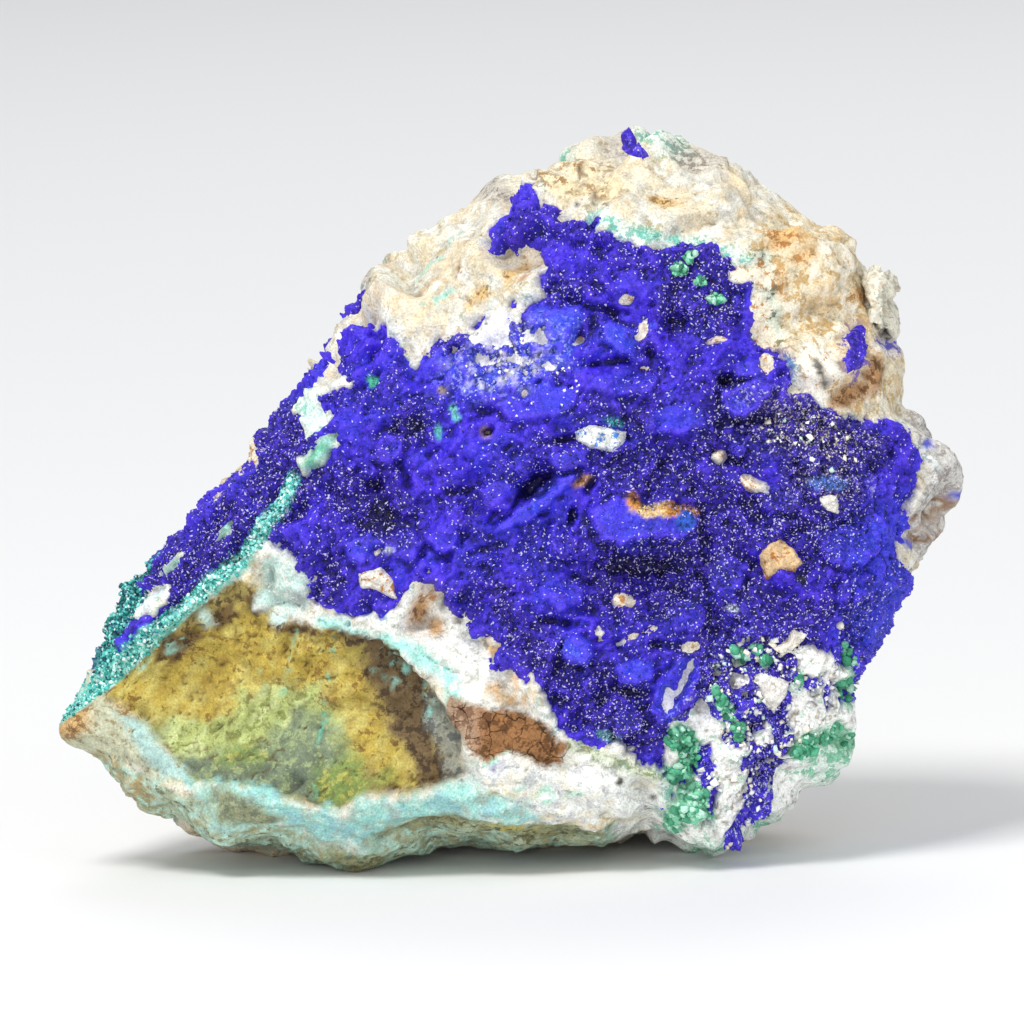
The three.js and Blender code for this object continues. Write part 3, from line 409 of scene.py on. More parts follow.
# Malachite: where, half width, half height and how pale, for each piece.
MALACHITE = {
    "malachite_cluster_upper": [
        (16.6, 13.7, 1.3, 1.1, 0.05), (17.6, 12.2, 1, 1.7, 0.05), (16.6, 10.4, 1.3, 0.9, 0.9),
    ],
    "malachite_cluster_lower": [
        (18, 7.6, 1.5, 1.6, 0.9), (16.3, 5.2, 0.6, 1.9, 0.1), (19.3, 6, 0.7, 0.9, 0.1),
    ],
    "malachite_blade": [
        (20.2, 18.3, 0.5, 0.6, 0.05), (20.8, 17.2, 0.6, 0.7, 0.05), (21.5, 16.2, 0.5, 0.7, 0.3),
        (22.4, 14.7, 0.6, 0.5, 0.05),
        (22.4, 13.8, 0.5, 0.4, 0.9),
    ],
    "malachite_wedge": [
        (28.6, 12.3, 0.9, 0.8, 0), (29.5, 12.9, 0.9, 1.2, 0), (33.3, 13.5, 0.8, 1.1, 0.2),
        (31.6, 13.2, 0.8, 0.5, 0.9),
        (34, 18.2, 0.4, 1.3, 0.1),
    ],
    "malachite_beads": [
        (22.4, 22.4, 0.5, 0.5, 0.1), (23, 21.6, 0.45, 0.45, 0.1), (24.2, 22.6, 0.5, 0.5, 0.4),
        (25.2, 21.4, 0.6, 0.6, 0.1),
        (28.5, 19.6, 0.4, 0.35, 0), (34, 21.6, 0.4, 0.9, 0.2),
    ],
    "malachite_crown_beads": [
        (17.6, 61.5, 0.5, 0.5, 0.7), (16.6, 60.2, 0.85, 0.7, 0.3), (18.5, 59, 0.45, 0.45, 0.3),
        (20.1, 57.2, 0.7, 0.55, 0.6),
    ],
}


# ---- Stains on the rock: spots as x, z, half width, half height and turn, lines as x and z ----

CROWN_STAINS = [
    (4.6, 68.4, 2.6, 1.4, 25), (7, 70.6, 2.4, 1.2, 20), (9, 68.4, 2.2, 1.4, 10), (9.6, 71.6, 1.4, 0.9, 0),
]
CROWN_RUST = [
    (-3.2, 57.2, 1.5, 0.6, 30), (4.4, 61.9, 0.9, 0.3, 0), (15.2, 67.4, 1.6, 0.8, 0),
    (0.4, 59.8, 0.5, 1.6, -20),
]
CROWN_STREAKS = [
    [(-10, 55.5), (-8.4, 56.8), (-6, 58)],
    [(-7, 62.4), (-5.6, 65)],
    [(-10.6, 60.6), (-7.5, 62.5)],
    [(7.4, 65.8), (9.6, 66)],
]
CROWN_GREY = [
    (-14.6, 58.9, 1.3, 1.6, 30), (-1.8, 68.2, 1.3, 1, 0), (18.6, 71.6, 2.8, 0.9, -22),
    (-17.6, 55.2, 0.6, 0.8, 0), (10.6, 73.6, 1.2, 0.6, 0),
]
CROWN_FRINGE = [(8, 64.8), (10.5, 64.4), (13.5, 63.6), (16, 63.4), (19.5, 62.6), (23.6, 61)]
BLOCK_RUST = [
    (26.6, 63.2, 1.4, 1.6, 20), (28.4, 61, 1.2, 0.7, 0), (25.8, 57.4, 0.8, 2.6, -16), (35.4, 58, 1, 0.8, 0),
]
BLOCK_FOOT = [(27.6, 49.4), (28.6, 53), (31, 52.4), (33, 50), (31.6, 47.6), (29, 47.6)]
BLOCK_HOLES = [(30.1, 49.9, 0.6, 1.3, 25), (31, 48.9, 0.7, 0.5, 0), (32.8, 50.6, 0.8, 0.5, 0)]
BOSS_VEINS = [
    (42.2, 35.2, 1.8, 0.35, 65), (43, 36.6, 1.6, 0.25, 65), (41.8, 33.6, 1.2, 0.4, 40),
    (41.2, 36.6, 1, 0.2, 80),
]
BOSS_BLUE = [
    (44.2, 39.8, 0.4, 0.3, 0), (43.7, 38, 0.3, 0.3, 0), (41.5, 42.8, 0.3, 0.5, 0),
    (40.7, 32.7, 0.3, 0.5, 0), (42.6, 40.6, 0.25, 0.3, 0),
]
LIMB_RUST = [
    (-9.2, 26.2, 0.9, 2.1, -25), (-2, 22.7, 1.4, 0.5, -45), (-7.6, 24.6, 0.8, 0.9, 0),
    (-1.6, 18.6, 0.7, 0.4, 0),
]
LIMB_HOLES = [(-6.8, 27, 0.3, 0.5, 0), (-5.2, 25.4, 0.25, 0.4, 0), (-12.2, 28.2, 0.4, 0.4, 0)]
LIMB_WARM = [
    (-1.5, 22.6, 1.6, 0.6, -40), (1, 19, 1.4, 0.4, -45), (0.4, 17.6, 3, 0.5, -10),
    (-9, 22.4, 1.6, 0.3, -50),
]
LIMB_RIM = [(-19, 25), (-16, 24.3), (-12.4, 23.2), (-10.1, 23), (-8.8, 21.7), (-6.4, 20), (-5.6, 17.6)]
APRON_BLOBS = [
    (3.4, 7.8, 0.9, 0.9, 0), (6.2, 8.1, 0.9, 0.5, 0), (1, 9, 0.7, 0.5, 0), (-2, 11.6, 1.4, 0.6, 10),
    (-1.2, 12.4, 1.6, 0.5, 10),
]
APRON_DOTS = [
    (10.7, 9.4, 0.35, 0.4, 0), (14.2, 7.2, 0.45, 0.3, 0), (13.8, 5.5, 0.3, 0.4, 0),
    (15.5, 4.6, 0.3, 0.5, 0), (15.6, 3.5, 0.3, 0.3, 0),
]
APRON_OCHRE = [(-2.4, 8.2, 3, 0.5, 2), (8, 4.6, 4, 0.35, -4), (2.4, 5.4, 1.4, 0.3, 0)]
FACE_BROWN = [
    (-33.4, 22.6, 3, 1.1, 32), (-25.4, 27, 1.6, 1.1, 20), (-21.6, 24.3, 2.4, 0.7, -6),
    (-29, 25.6, 2.2, 0.8, 38),
]
# The line, its half width and how strong its colour is.
FACE_VEINS = (
    ([(-17.8, 23.4), (-18.1, 21), (-18.7, 18.8), (-19, 15), (-19.7, 12.4), (-19.7, 7)], 0.12, 0.9),
    ([(-21.7, 24.4), (-22.6, 19.5), (-23.6, 15)], 0.06, 0.7),
    ([(-24.6, 21.6), (-27, 17.2), (-29, 14.4)], 0.05, 0.55),
)
PANEL_BLUE = [(-39.6, 17.4), (-37, 15.6), (-33.6, 11.6), (-32.4, 9), (-35, 9.6), (-37.4, 13)]
FOOT_ROUGH = [
    (-8, 4.4, 4.5, 0.8, 6), (-15.6, 1.6, 3, 1, 0), (3, 3.7, 5, 0.8, 0), (-27.5, 6.4, 4, 1.5, -24),
    (-2, 4, 2, 0.8, 0),
]
PALE_GREEN = [
    (32, 10.6, 2.6, 2, 20), (19.6, 2.8, 2.2, 1.3, 0), (15.7, 6.4, 0.6, 3, 0), (32, 13.6, 2, 1, 0),
    (26, 4.4, 1.4, 1.4, 30),
]
LEFT_PATCH_COLOURS = [(226, 244, 238), (96, 184, 150), (118, 160, 146), (128, 170, 158), (226, 240, 240)]


# ---- Numbers: noise and fields over arrays of points ----


def smooth_step(low, high, value):
    t = np.clip((value - low) / (high - low), 0, 1)
    return t * t * (3 - 2 * t)


def lattice(i, j, k, seed):
    """A repeatable 32-bit number for each lattice point."""
    with np.errstate(over="ignore"):
        h = i.astype(np.uint32) * np.uint32(73856093)
        h ^= j.astype(np.uint32) * np.uint32(19349663)
        h ^= k.astype(np.uint32) * np.uint32(83492791)
        h ^= np.uint32(seed * 2654435761 % 2**32)
        h ^= h >> np.uint32(15)
        h *= np.uint32(2246822519)
        h ^= h >> np.uint32(13)
        h *= np.uint32(3266489917)
        h ^= h >> np.uint32(16)
    return h


def fraction(h):
    return (h & np.uint32(0xFFFFFF)).astype(np.float32) / 0xFFFFFF


CORNERS = [(a, b, c) for a in (0, 1) for b in (0, 1) for c in (0, 1)]
GRADIENTS = np.array(
    [(a, b, 0) for a in (-1, 1) for b in (-1, 1)] + [(a, 0, b) for a in (-1, 1) for b in (-1, 1)]
    + [(0, a, b) for a in (-1, 1) for b in (-1, 1)] + [(1, 1, 0), (-1, 1, 0), (0, -1, 1), (0, -1, -1)],
    np.float32,
)


def noise(points, size, seed=0):
    """Smooth noise from about -1 to 1, with features about size across."""
    p = (points / size).astype(np.float32)
    cell = np.floor(p)
    f = p - cell
    cell = cell.astype(np.int64)
    u = f * f * f * (f * (f * 6 - 15) + 10)
    total = np.zeros(len(p), np.float32)
    for a, b, c in CORNERS:
        g = GRADIENTS[lattice(cell[:, 0] + a, cell[:, 1] + b, cell[:, 2] + c, seed) & np.uint32(15)]
        d = (f[:, 0] - a) * g[:, 0] + (f[:, 1] - b) * g[:, 1] + (f[:, 2] - c) * g[:, 2]
        near = [u[:, n] if corner else 1 - u[:, n] for n, corner in enumerate((a, b, c))]
        total += near[0] * near[1] * near[2] * d
    return total * 1.5


def cloud(points, size, octaves=4, seed=0, gain=0.5):
    """Noise of several sizes together."""
    total, share, whole = 0, 1.0, 0.0
    for n in range(octaves):
        total = total + share * noise(points, size / 2**n, seed + 17 * n)
        whole += share
        share *= gain
    return total / whole * 1.3


def cells(points, size, seed=0):
    """The nearest point of a jittered lattice: its number, the way from it, its distance and the next's."""
    p = (points / size).astype(np.float32)
    base = np.floor(p).astype(np.int64)
    best = np.full(len(p), 9, np.float32)
    second = best.copy()
    ident = np.zeros(len(p), np.uint32)
    offset = np.zeros_like(p)
    for a in (-1, 0, 1):
        for b in (-1, 0, 1):
            for c in (-1, 0, 1):
                q = base + (a, b, c)
                h = lattice(q[:, 0], q[:, 1], q[:, 2], seed)
                jitter = np.stack([fraction(h * np.uint32(m)) for m in (1, 7919, 104729)], 1)
                away = p - (q + 0.1 + 0.8 * jitter).astype(np.float32)
                d = np.sqrt((away * away).sum(1))
                nearer = d < best
                second = np.where(nearer, best, np.minimum(second, d))
                best = np.where(nearer, d, best)
                ident = np.where(nearer, h, ident)
                offset[nearer] = away[nearer]
    return ident, offset, best, second


def chips(points, size, seed=0):
    """Height, in sizes, of flat chips that tilt every way, and a shade from 0 to 1 for each."""
    ident, offset, _, _ = cells(points, size, seed)
    tilt = np.stack([fraction(ident * np.uint32(m)) - 0.5 for m in (31, 1237, 7583)], 1)
    rise = 0.25 * (fraction(ident * np.uint32(91)) - 0.5)
    return 1.1 * (offset * tilt).sum(1) + rise, fraction(ident * np.uint32(57))


def fine_cracks(points, width):
    """1 along the fine cracks of the broken face."""
    return smooth_step(width, 0.0, np.abs(noise(points * (0.5, 1, 1), 2.6, 33) + 0.3 * noise(points, 1, 34)))


def outline_distance(points, outline):
    """Distance in x and z to a closed outline, negative inside; far points just get a large number."""
    line = np.array(outline, np.float32)
    low, high = line.min(0) - 4, line.max(0) + 4
    xz = points[:, [0, 2]].astype(np.float32)
    near = ((xz > low) & (xz < high)).all(1)
    q = xz[near]
    best = np.full(len(q), 1e9, np.float32)
    inside = np.zeros(len(q), bool)
    for (ax, az), (bx, bz) in zip(line, np.roll(line, -1, 0)):
        ex, ez = bx - ax, bz - az
        dx, dz = q[:, 0] - ax, q[:, 1] - az
        t = np.clip((dx * ex + dz * ez) / (ex * ex + ez * ez), 0, 1)
        best = np.minimum(best, (dx - t * ex) ** 2 + (dz - t * ez) ** 2)
        if az != bz:
            inside ^= ((az > q[:, 1]) != (bz > q[:, 1])) & (q[:, 0] < ax + dz * ex / ez)
    out = np.full(len(points), 9, np.float32)
    out[near] = np.sqrt(best) * np.where(inside, -1, 1)
    return out


def mixed_share(points):
    """1 in the corner where white rock and azurite mix, 0 away from it."""
    return smooth_step(1.5, -1.5, outline_distance(points, MIXED))


def line_distance(points, line):
    """Distance in x and z to an open line."""
    xz = points[:, [0, 2]].astype(np.float32)
    best = np.full(len(xz), 1e9, np.float32)
    for (ax, az), (bx, bz) in zip(line[:-1], line[1:]):
        ex, ez = bx - ax, bz - az
        dx, dz = xz[:, 0] - ax, xz[:, 1] - az
        t = np.clip((dx * ex + dz * ez) / (ex * ex + ez * ez), 0, 1)
        best = np.minimum(best, (dx - t * ex) ** 2 + (dz - t * ez) ** 2)
    return np.sqrt(best)


def spot_place(points, x, z, half_w, half_h, turn):
    """Place in a spot's own axes, in halves: u along it, v across it."""
    a = math.radians(turn)
    dx, dz = points[:, 0] - x, points[:, 2] - z
    along, across = dx * math.cos(a) + dz * math.sin(a), dz * math.cos(a) - dx * math.sin(a)
    return along / half_w, across / half_h


def spot_distance(points, spot):
    u, v = spot_place(points, *spot)
    return (np.sqrt(u * u + v * v) - 1) * min(spot[2], spot[3])


# ---- Meshes ----


def mesh_arrays(mesh):
    co = np.empty(len(mesh.vertices) * 3, np.float32)
    mesh.vertices.foreach_get("co", co)
    mesh.calc_loop_triangles()
    tri = np.empty(len(mesh.loop_triangles) * 3, np.int32)
    mesh.loop_triangles.foreach_get("vertices", tri)
    return co.reshape(-1, 3), tri.reshape(-1, 3)


def fill_mesh(name, co, tri):
    mesh = bpy.data.meshes.new(name)
    mesh.vertices.add(len(co))
    mesh.vertices.foreach_set("co", np.ascontiguousarray(co, np.float32).ravel())
    mesh.loops.add(len(tri) * 3)
    mesh.loops.foreach_set("vertex_index", np.ascontiguousarray(tri, np.int32).ravel())
    mesh.polygons.add(len(tri))
    mesh.polygons.foreach_set("loop_start", np.arange(0, len(tri) * 3, 3, dtype=np.int32))
    mesh.update(calc_edges=True)
    return mesh


def vertex_sums(index, values, count):
    return np.stack([np.bincount(index, values[:, axis], count) for axis in range(3)], 1)


def normals(co, tri):
    """Vertex normals, weighted by face area."""
    a, b, c = (co[tri[:, n]] for n in range(3))
    face = np.cross(b - a, c - a)
    out = vertex_sums(tri.T.ravel(), np.tile(face, (3, 1)), len(co))
    return (out / np.maximum(np.linalg.norm(out, axis=1, keepdims=True), 1e-9)).astype(np.float32)


def neighbour_mean(values, tri):
    """Each vertex's neighbours' mean of a value."""
    start = tri.ravel()
    end = np.roll(tri, -1, 1).ravel()
    count = np.bincount(start, minlength=len(values))
    return (np.bincount(start, values[end], len(values)) / np.maximum(count, 1)).astype(np.float32)


def eased(values, tri, rounds):
    """A field whose steps are softened into slopes."""
    for _ in range(rounds):
        values = neighbour_mean(values, tri)
    return values


def sunken(co, tri, rounds=6):
    """How far below its surroundings each vertex is, in millimetres along its normal."""
    mean = co.copy()
    for _ in range(rounds):
        mean = np.stack([neighbour_mean(mean[:, axis], tri) for axis in range(3)], 1)
    return ((mean - co) * normals(co, tri)).sum(1)


def worked(co, tri, *modifiers, spare=None):
    """A mesh after modifiers, each given as (type, settings).

    spare says how readily decimation may take each vertex: 1 first, near 0 last, and 0 never."""
    mesh = fill_mesh("work", co, tri)
    o = bpy.data.objects.new("work", mesh)
    bpy.context.collection.objects.link(o)
    if spare is not None:
        group = o.vertex_groups.new(name="spare")
        for weight in np.unique(spare[spare > 0]):
            group.add(np.flatnonzero(spare == weight).tolist(), float(weight), "REPLACE")
    for kind, settings in modifiers:
        m = o.modifiers.new(kind.lower(), kind)
        for key, value in settings.items():
            setattr(m, key, value)
    made = bpy.data.meshes.new_from_object(o.evaluated_get(bpy.context.evaluated_depsgraph_get()))
    out = mesh_arrays(made)
    bpy.data.objects.remove(o)
    bpy.data.meshes.remove(mesh)
    bpy.data.meshes.remove(made)
    return out


def thinned(co, tri, most, spare):
    """A mesh with at most so many faces, which gives up the spare vertices first."""
    if len(tri) > most:
        settings = {"ratio": most / len(tri), "vertex_group": "spare", "vertex_group_factor": 0.1}
        co, tri = worked(co, tri, ("DECIMATE", settings), spare=spare)
    if len(tri) > most:
        co, tri = worked(co, tri, ("DECIMATE", {"ratio": most / len(tri)}))
    return co, tri


def kept(tri, faces):
    """These faces renumbered, and the vertices that they use."""
    used, index = np.unique(tri[faces], return_inverse=True)
    return index.reshape(-1, 3).astype(np.int32), used


def shell(front, back, tri):
    """A closed piece: front, back behind it and a wall round them, and which of its points are the back's."""
    start, end = tri.ravel(), np.roll(tri, -1, 1).ravel()
    n = len(front)
    lone = ~np.isin(start.astype(np.int64) * n + end, end.astype(np.int64) * n + start)
    a, b = start[lone], end[lone]
    wall = np.concatenate([np.stack([b, a, a + n], 1), np.stack([b, a + n, b + n], 1)])
    tris = np.concatenate([tri, tri[:, ::-1] + n, wall]).astype(np.int32)
    return np.concatenate([front, back]).astype(np.float32), tris, np.arange(2 * n) >= n


def nearest(points, among):
    """For each point, the index of the closest of the others."""
    tree = KDTree(len(among))
    for n, p in enumerate(among.tolist()):
        tree.insert(p, n)
    tree.balance()
    return np.array([tree.find(p)[1] for p in points.tolist()])


def piece(name, co, tri, material, node, slot, **attributes):
    """An object of the specimen, from drawing-frame arrays; attributes give each point colours or numbers."""
    mesh = fill_mesh(name, to_row(co), tri)
    for key, values in attributes.items():
        if values.ndim == 2:
            layer = mesh.attributes.new(key, "FLOAT_COLOR", "POINT")
            rgba = np.ones((len(co), 4), np.float32)
            rgba[:, :3] = values
            layer.data.foreach_set("color", rgba.ravel())
        else:
            mesh.attributes.new(key, "FLOAT", "POINT").data.foreach_set("value", values.astype(np.float32))
    mesh.materials.append(material)
    o = bpy.data.objects.new(name, mesh)
    bpy.context.collection.objects.link(o)
    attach(o, "root")
    if node:
        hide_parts(node)
    return o


def node_arrays(*names):
    """CAD nodes' meshes together, in the drawing frame."""
    all_co, all_tri, start = [], [], 0
    for name in names:
        co, tri = mesh_arrays(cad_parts[name].data)
        all_co.append(to_drawing(co.astype(np.float64)))
        all_tri.append(tri + start)
        start += len(co)
    return np.concatenate(all_co).astype(np.float32), np.concatenate(all_tri)


# ---- Colours ----


def lin(rgb):
    c = np.array(rgb, np.float32) / 255
    return np.where(c <= 0.04045, c / 12.92, ((c + 0.055) / 1.055) ** 2.4)


SLANT = np.array(Matrix.Rotation(0.5, 3, "Y"), np.float32)
STRATA = np.array(Matrix.Rotation(-0.9, 3, "Y"), np.float32)  # along the rock's layers


class Paint:
    """Two colours at each point, and the share of it that has the second, in spots too fine for the mesh."""

    def __init__(self, points, rgb, second=(0, 0, 0), share=0.0, seed=100):
        self.p = points
        self.seed = seed
        self.color = np.tile(lin(rgb), (len(points), 1)).astype(np.float32)
        self.second = np.tile(lin(second), (len(points), 1)).astype(np.float32)
        self.share = np.full(len(points), share, np.float32)
        self.edge = 0.5 * cloud(points, 2.2, 4, 71) + 0.2 * noise(points, 0.5, 72)
        self.front = smooth_step(6, -1, points[:, 1])  # 1 in front, 0 behind

    def attributes(self):
        return {"paint": self.color, "second": self.second, "share": self.share}

    def patchy(self, size, amount, soft=0.12, stretch=None):
        """1 on patches of noise that cover about amount of the surface."""
        self.seed += 1
        limit = 0.42 * (1 - 2 * amount)
        at = self.p if stretch is None else self.p @ STRATA * stretch
        return smooth_step(limit - soft, limit + soft, cloud(at, size, 4, self.seed, 0.6))

    def lay(self, rgb, mask, size=0.0, amount=0.5, stretch=None):
        """Lays a colour over both; with a size, only on patches of that size."""
        if size:
            mask = mask * self.patchy(size, amount, 0.12, stretch)
        mask = np.clip(mask, 0, 1)
        self.color += (lin(rgb) - self.color) * mask[:, None]
        self.share *= 1 - mask

    def zone(self, rgb, second, share, mask):
        """Lays both colours."""
        mask = np.clip(mask, 0, 1)
        self.color += (lin(rgb) - self.color) * mask[:, None]
        self.second += (lin(second) - self.second) * mask[:, None]
        self.share += (share - self.share) * mask

    def area(self, outline, soft=0.3, rough=1.0):
        """1 inside an outline, falling off over soft on each side, with a rough edge."""
        return smooth_step(soft, -soft, outline_distance(self.p, outline) + rough * self.edge)

    def spots(self, spots, soft=0.25, rough=0.6):
        """1 in any of the spots, with soft and rough edges."""
        best = np.zeros(len(self.p), np.float32)
        for spot in spots:
            best = np.maximum(best, smooth_step(soft, -soft, spot_distance(self.p, spot) + rough * self.edge))
        return best

    def line(self, line, width, soft=0.15, rough=0.4):
        """1 within width of a line."""
        return smooth_step(soft, -soft, line_distance(self.p, line) - width + rough * self.edge)

    def on_spots(self, amount, spots, soft=0.25, rough=0.6):
        """Spots on the front, at a strength."""
        return amount * self.front * self.spots(spots, soft, rough)

    def stain(self, rgb, second, share, amount, spots, soft=0.25, rough=0.6):
        """Lays both colours in spots on the front."""
        self.zone(rgb, second, share, self.on_spots(amount, spots, soft, rough))

    def trace(self, rgb, amount, line, width, soft=0.15, rough=0.4):
        """Lays a colour along a line on the front."""
        self.lay(rgb, amount * self.front * self.line(line, width, soft, rough))


# ---- The stone's surface ----

FINE = 0.25
MOST_FACES = 190000
HIDDEN_SPARE, BACK_SPARE, FRONT_SPARE = 0.96, 0.4, 0.02  # how readily each part of the rock is thinned
CRUST_DEPTH = 1.4  # from the crust's front to the sheet that closes it behind


def stone_surface():
    """The whole stone, rock and crust together, as one fine smooth surface."""
    co, tri = node_arrays("host_rock", "azurite_crust", "azurite_crown_patch", "azurite_shoulder_patch")
    swell = 0.3
    co, tri = worked(
        co,
        tri,
        ("DISPLACE", {"strength": swell, "mid_level": 0.0}),
        ("REMESH", {"mode": "VOXEL", "voxel_size": 1.1}),
        ("SMOOTH", {"factor": 0.5, "iterations": 6}),
        ("SUBSURF", {"levels": 1}),
        ("REMESH", {"mode": "VOXEL", "voxel_size": FINE}),
        ("SMOOTH", {"factor": 0.5, "iterations": 2}),
    )
    return co - 0.8 * swell * normals(co, tri), tri


def fit_silhouette(sheets):
    """Moves points near the rim so that the stone, as the camera sees it, has the outline SILHOUETTE.

    sheets are pairs of points and which of them show; the points are changed in place."""
    centre = np.array([3.0, 33.0], np.float32)
    bins = 1080
    line = np.array(SILHOUETTE, np.float32) - centre
    steps = np.linspace(0, 1, 40, endpoint=False)[:, None]
    fine = np.concatenate([a + (b - a) * steps for a, b in zip(line, np.roll(line, -1, 0))])
    around = np.arctan2(fine[:, 1], fine[:, 0])
    order = np.argsort(around)
    angles = np.linspace(-np.pi, np.pi, bins, endpoint=False) + np.pi / bins
    window = np.exp(-0.5 * (np.arange(-15, 16) / 5) ** 2)
    window /= window.sum()
    wanted = np.interp(angles, around[order], np.hypot(*fine.T)[order], period=2 * np.pi)

    def seen(co):
        scale = CAMERA_DISTANCE / (CAMERA_DISTANCE + co[:, 1] - FACE_CENTRE[1])
        x = (co[:, 0] - FACE_CENTRE[0]) * scale + FACE_CENTRE[0] - centre[0]
        z = (co[:, 2] - FACE_CENTRE[2]) * scale + FACE_CENTRE[2] - centre[1]
        return np.hypot(x, z), np.arctan2(z, x)

    for _ in range(3):
        reach = np.zeros(bins, np.float32)
        for co, shows in sheets:
            r, a = seen(co[shows])
            np.maximum.at(reach, ((a + np.pi) / (2 * np.pi) * bins).astype(int) % bins, r)
        reach = np.convolve(np.tile(reach, 3), window, "same")[bins : 2 * bins]
        ratio = np.convolve(np.tile(wanted / reach, 3), window, "same")[bins : 2 * bins]
        for co, _ in sheets:
            r, a = seen(co)
            here = np.interp(a, angles, ratio, period=2 * np.pi)
            share = smooth_step(0.72, 0.99, r / np.interp(a, angles, reach, period=2 * np.pi))
            grow = 1 + (here - 1) * share
            co[:, 0] = centre[0] + (co[:, 0] - centre[0]) * grow
            co[:, 2] = centre[1] + (co[:, 2] - centre[1]) * grow


def above_floor(co):
    """Points that reach below what the stone stands on are lifted to it."""
    row = to_row(co.astype(np.float64))
    row[:, 2] = np.maximum(row[:, 2], 0.01 * MM)
    return to_drawing(row).astype(np.float32)


# ---- Where the crust lies ----

surface, surface_tri = stone_surface()
surface_normal = normals(surface, surface_tri)
facing = smooth_step(0.05, 0.6, -surface_normal[:, 1])  # 1 where the surface faces the viewer
before_rim = smooth_step(7, -1, surface[:, 1])  # 1 in front, 0 behind
edge_noise = 0.6 * cloud(surface, 2.4, 3, 5) + 0.4 * cloud(surface, 0.8, 2, 9)


def crust_field():
    """How far inside the crust each point is, in millimetres, negative outside it."""
    inside = -outline_distance(surface, AZURITE) + edge_noise
    inside = np.minimum(inside, 2.5 + 2 * noise(surface, 9, 31) - surface[:, 1])
    for spot in BARE_SPOTS:
        inside = np.minimum(inside, spot_distance(surface, spot) + 0.45 * edge_noise)
    for outlines, rough in ((BARE_OUTLINES, 0.55), (LEFT_PATCHES, 0.9), ([CHALK], 0.9)):
        for outline in outlines:
            inside = np.minimum(inside, outline_distance(surface, outline) + rough * edge_noise)

    # White speckle: the crust is thin and broken around the chalky patch and in the mixed corner.
    speckle = cloud(surface, 1.1, 4, 12, 0.65)
    clumps = cloud(surface, 2.0, 4, 13, 0.6)
    mixed = mixed_share(surface)
    near_chalk = smooth_step(4, 0.5, outline_distance(surface, CHALK))
    dusted = near_chalk * smooth_step(0, -2, surface[:, 1]) * smooth_step(58, 55, surface[:, 2])
    inside = np.minimum(inside, np.where(dusted > 0.02, 2.4 * (0.78 - 0.6 * dusted - clumps), 9))
    inside = np.minimum(inside, np.where(mixed > 0.02, 2.4 * (0.85 - 0.5 * mixed - speckle), 9))

    strays = np.full(len(surface), -9, np.float32)
    for spot in STRAYS:
        strays = np.maximum(strays, 0.3 * edge_noise - spot_distance(surface, spot))
    return np.where(surface[:, 1] < 2, np.maximum(inside, strays), inside)


crust = crust_field()
wobble = 0.35 * cloud(surface, 1.4, 3, 41)


def slabs():
    """How far the broken slabs stand out, and how much lighter they are."""
    height = np.zeros(len(surface), np.float32)
    lightness = np.zeros(len(surface), np.float32)
    for outline, upper, lower_edge, tone in SLABS:
        d = outline_distance(surface, outline) + wobble
        heights = [z for _, z in outline]
        down = (max(heights) - surface[:, 2]) / (max(heights) - min(heights))
        lift = (upper + (lower_edge - upper) * np.clip(down, 0, 1)) * smooth_step(0.22, -0.22, d)
        lightness = np.where(lift > height, tone * smooth_step(0.2, -0.2, d), lightness)
        height = np.maximum(height, lift)
    return height, lightness


def hollows():
    """How deep the hollows in the crust are."""
    deepest = np.zeros(len(surface), np.float32)
    for x, z, half_w, half_h, turn, depth in HOLLOWS:
        d = spot_distance(surface, (x, z, half_w, half_h, turn)) / min(half_w, half_h) + wobble
        deepest = np.maximum(deepest, depth * smooth_step(0.5, -0.6, d))
    return deepest


slab_lift, slab_tone = slabs()
hollow = hollows()

# ---- Relief of the crust and the rock ----


def crust_shape():
    """Lumps, blocks and small chips, in millimetres along the normal; flatter on the slabs."""
    lumps = eased(chips(surface, 4.6, 3)[0], surface_tri, 2)
    blocks = eased(chips(surface, 2.0, 4)[0], surface_tri, 2)
    bits, _ = chips(surface, 0.9, 14)
    relief = 2.9 * lumps + 1.7 * blocks + 0.6 * bits
    relief = relief + 0.25 * cloud(surface, 0.6, 2, 6) + 0.5 * cloud(surface, 6, 2, 8)
    return relief * (1 - 0.55 * smooth_step(0.05, 0.6, slab_lift))


def region(outline, outside, inside, rough=0.5):
    """1 in an outline on the stone's front, from outside mm out of it to inside mm, with a rough edge."""
    return smooth_step(outside, inside, outline_distance(surface, outline) + rough * edge_noise) * before_rim


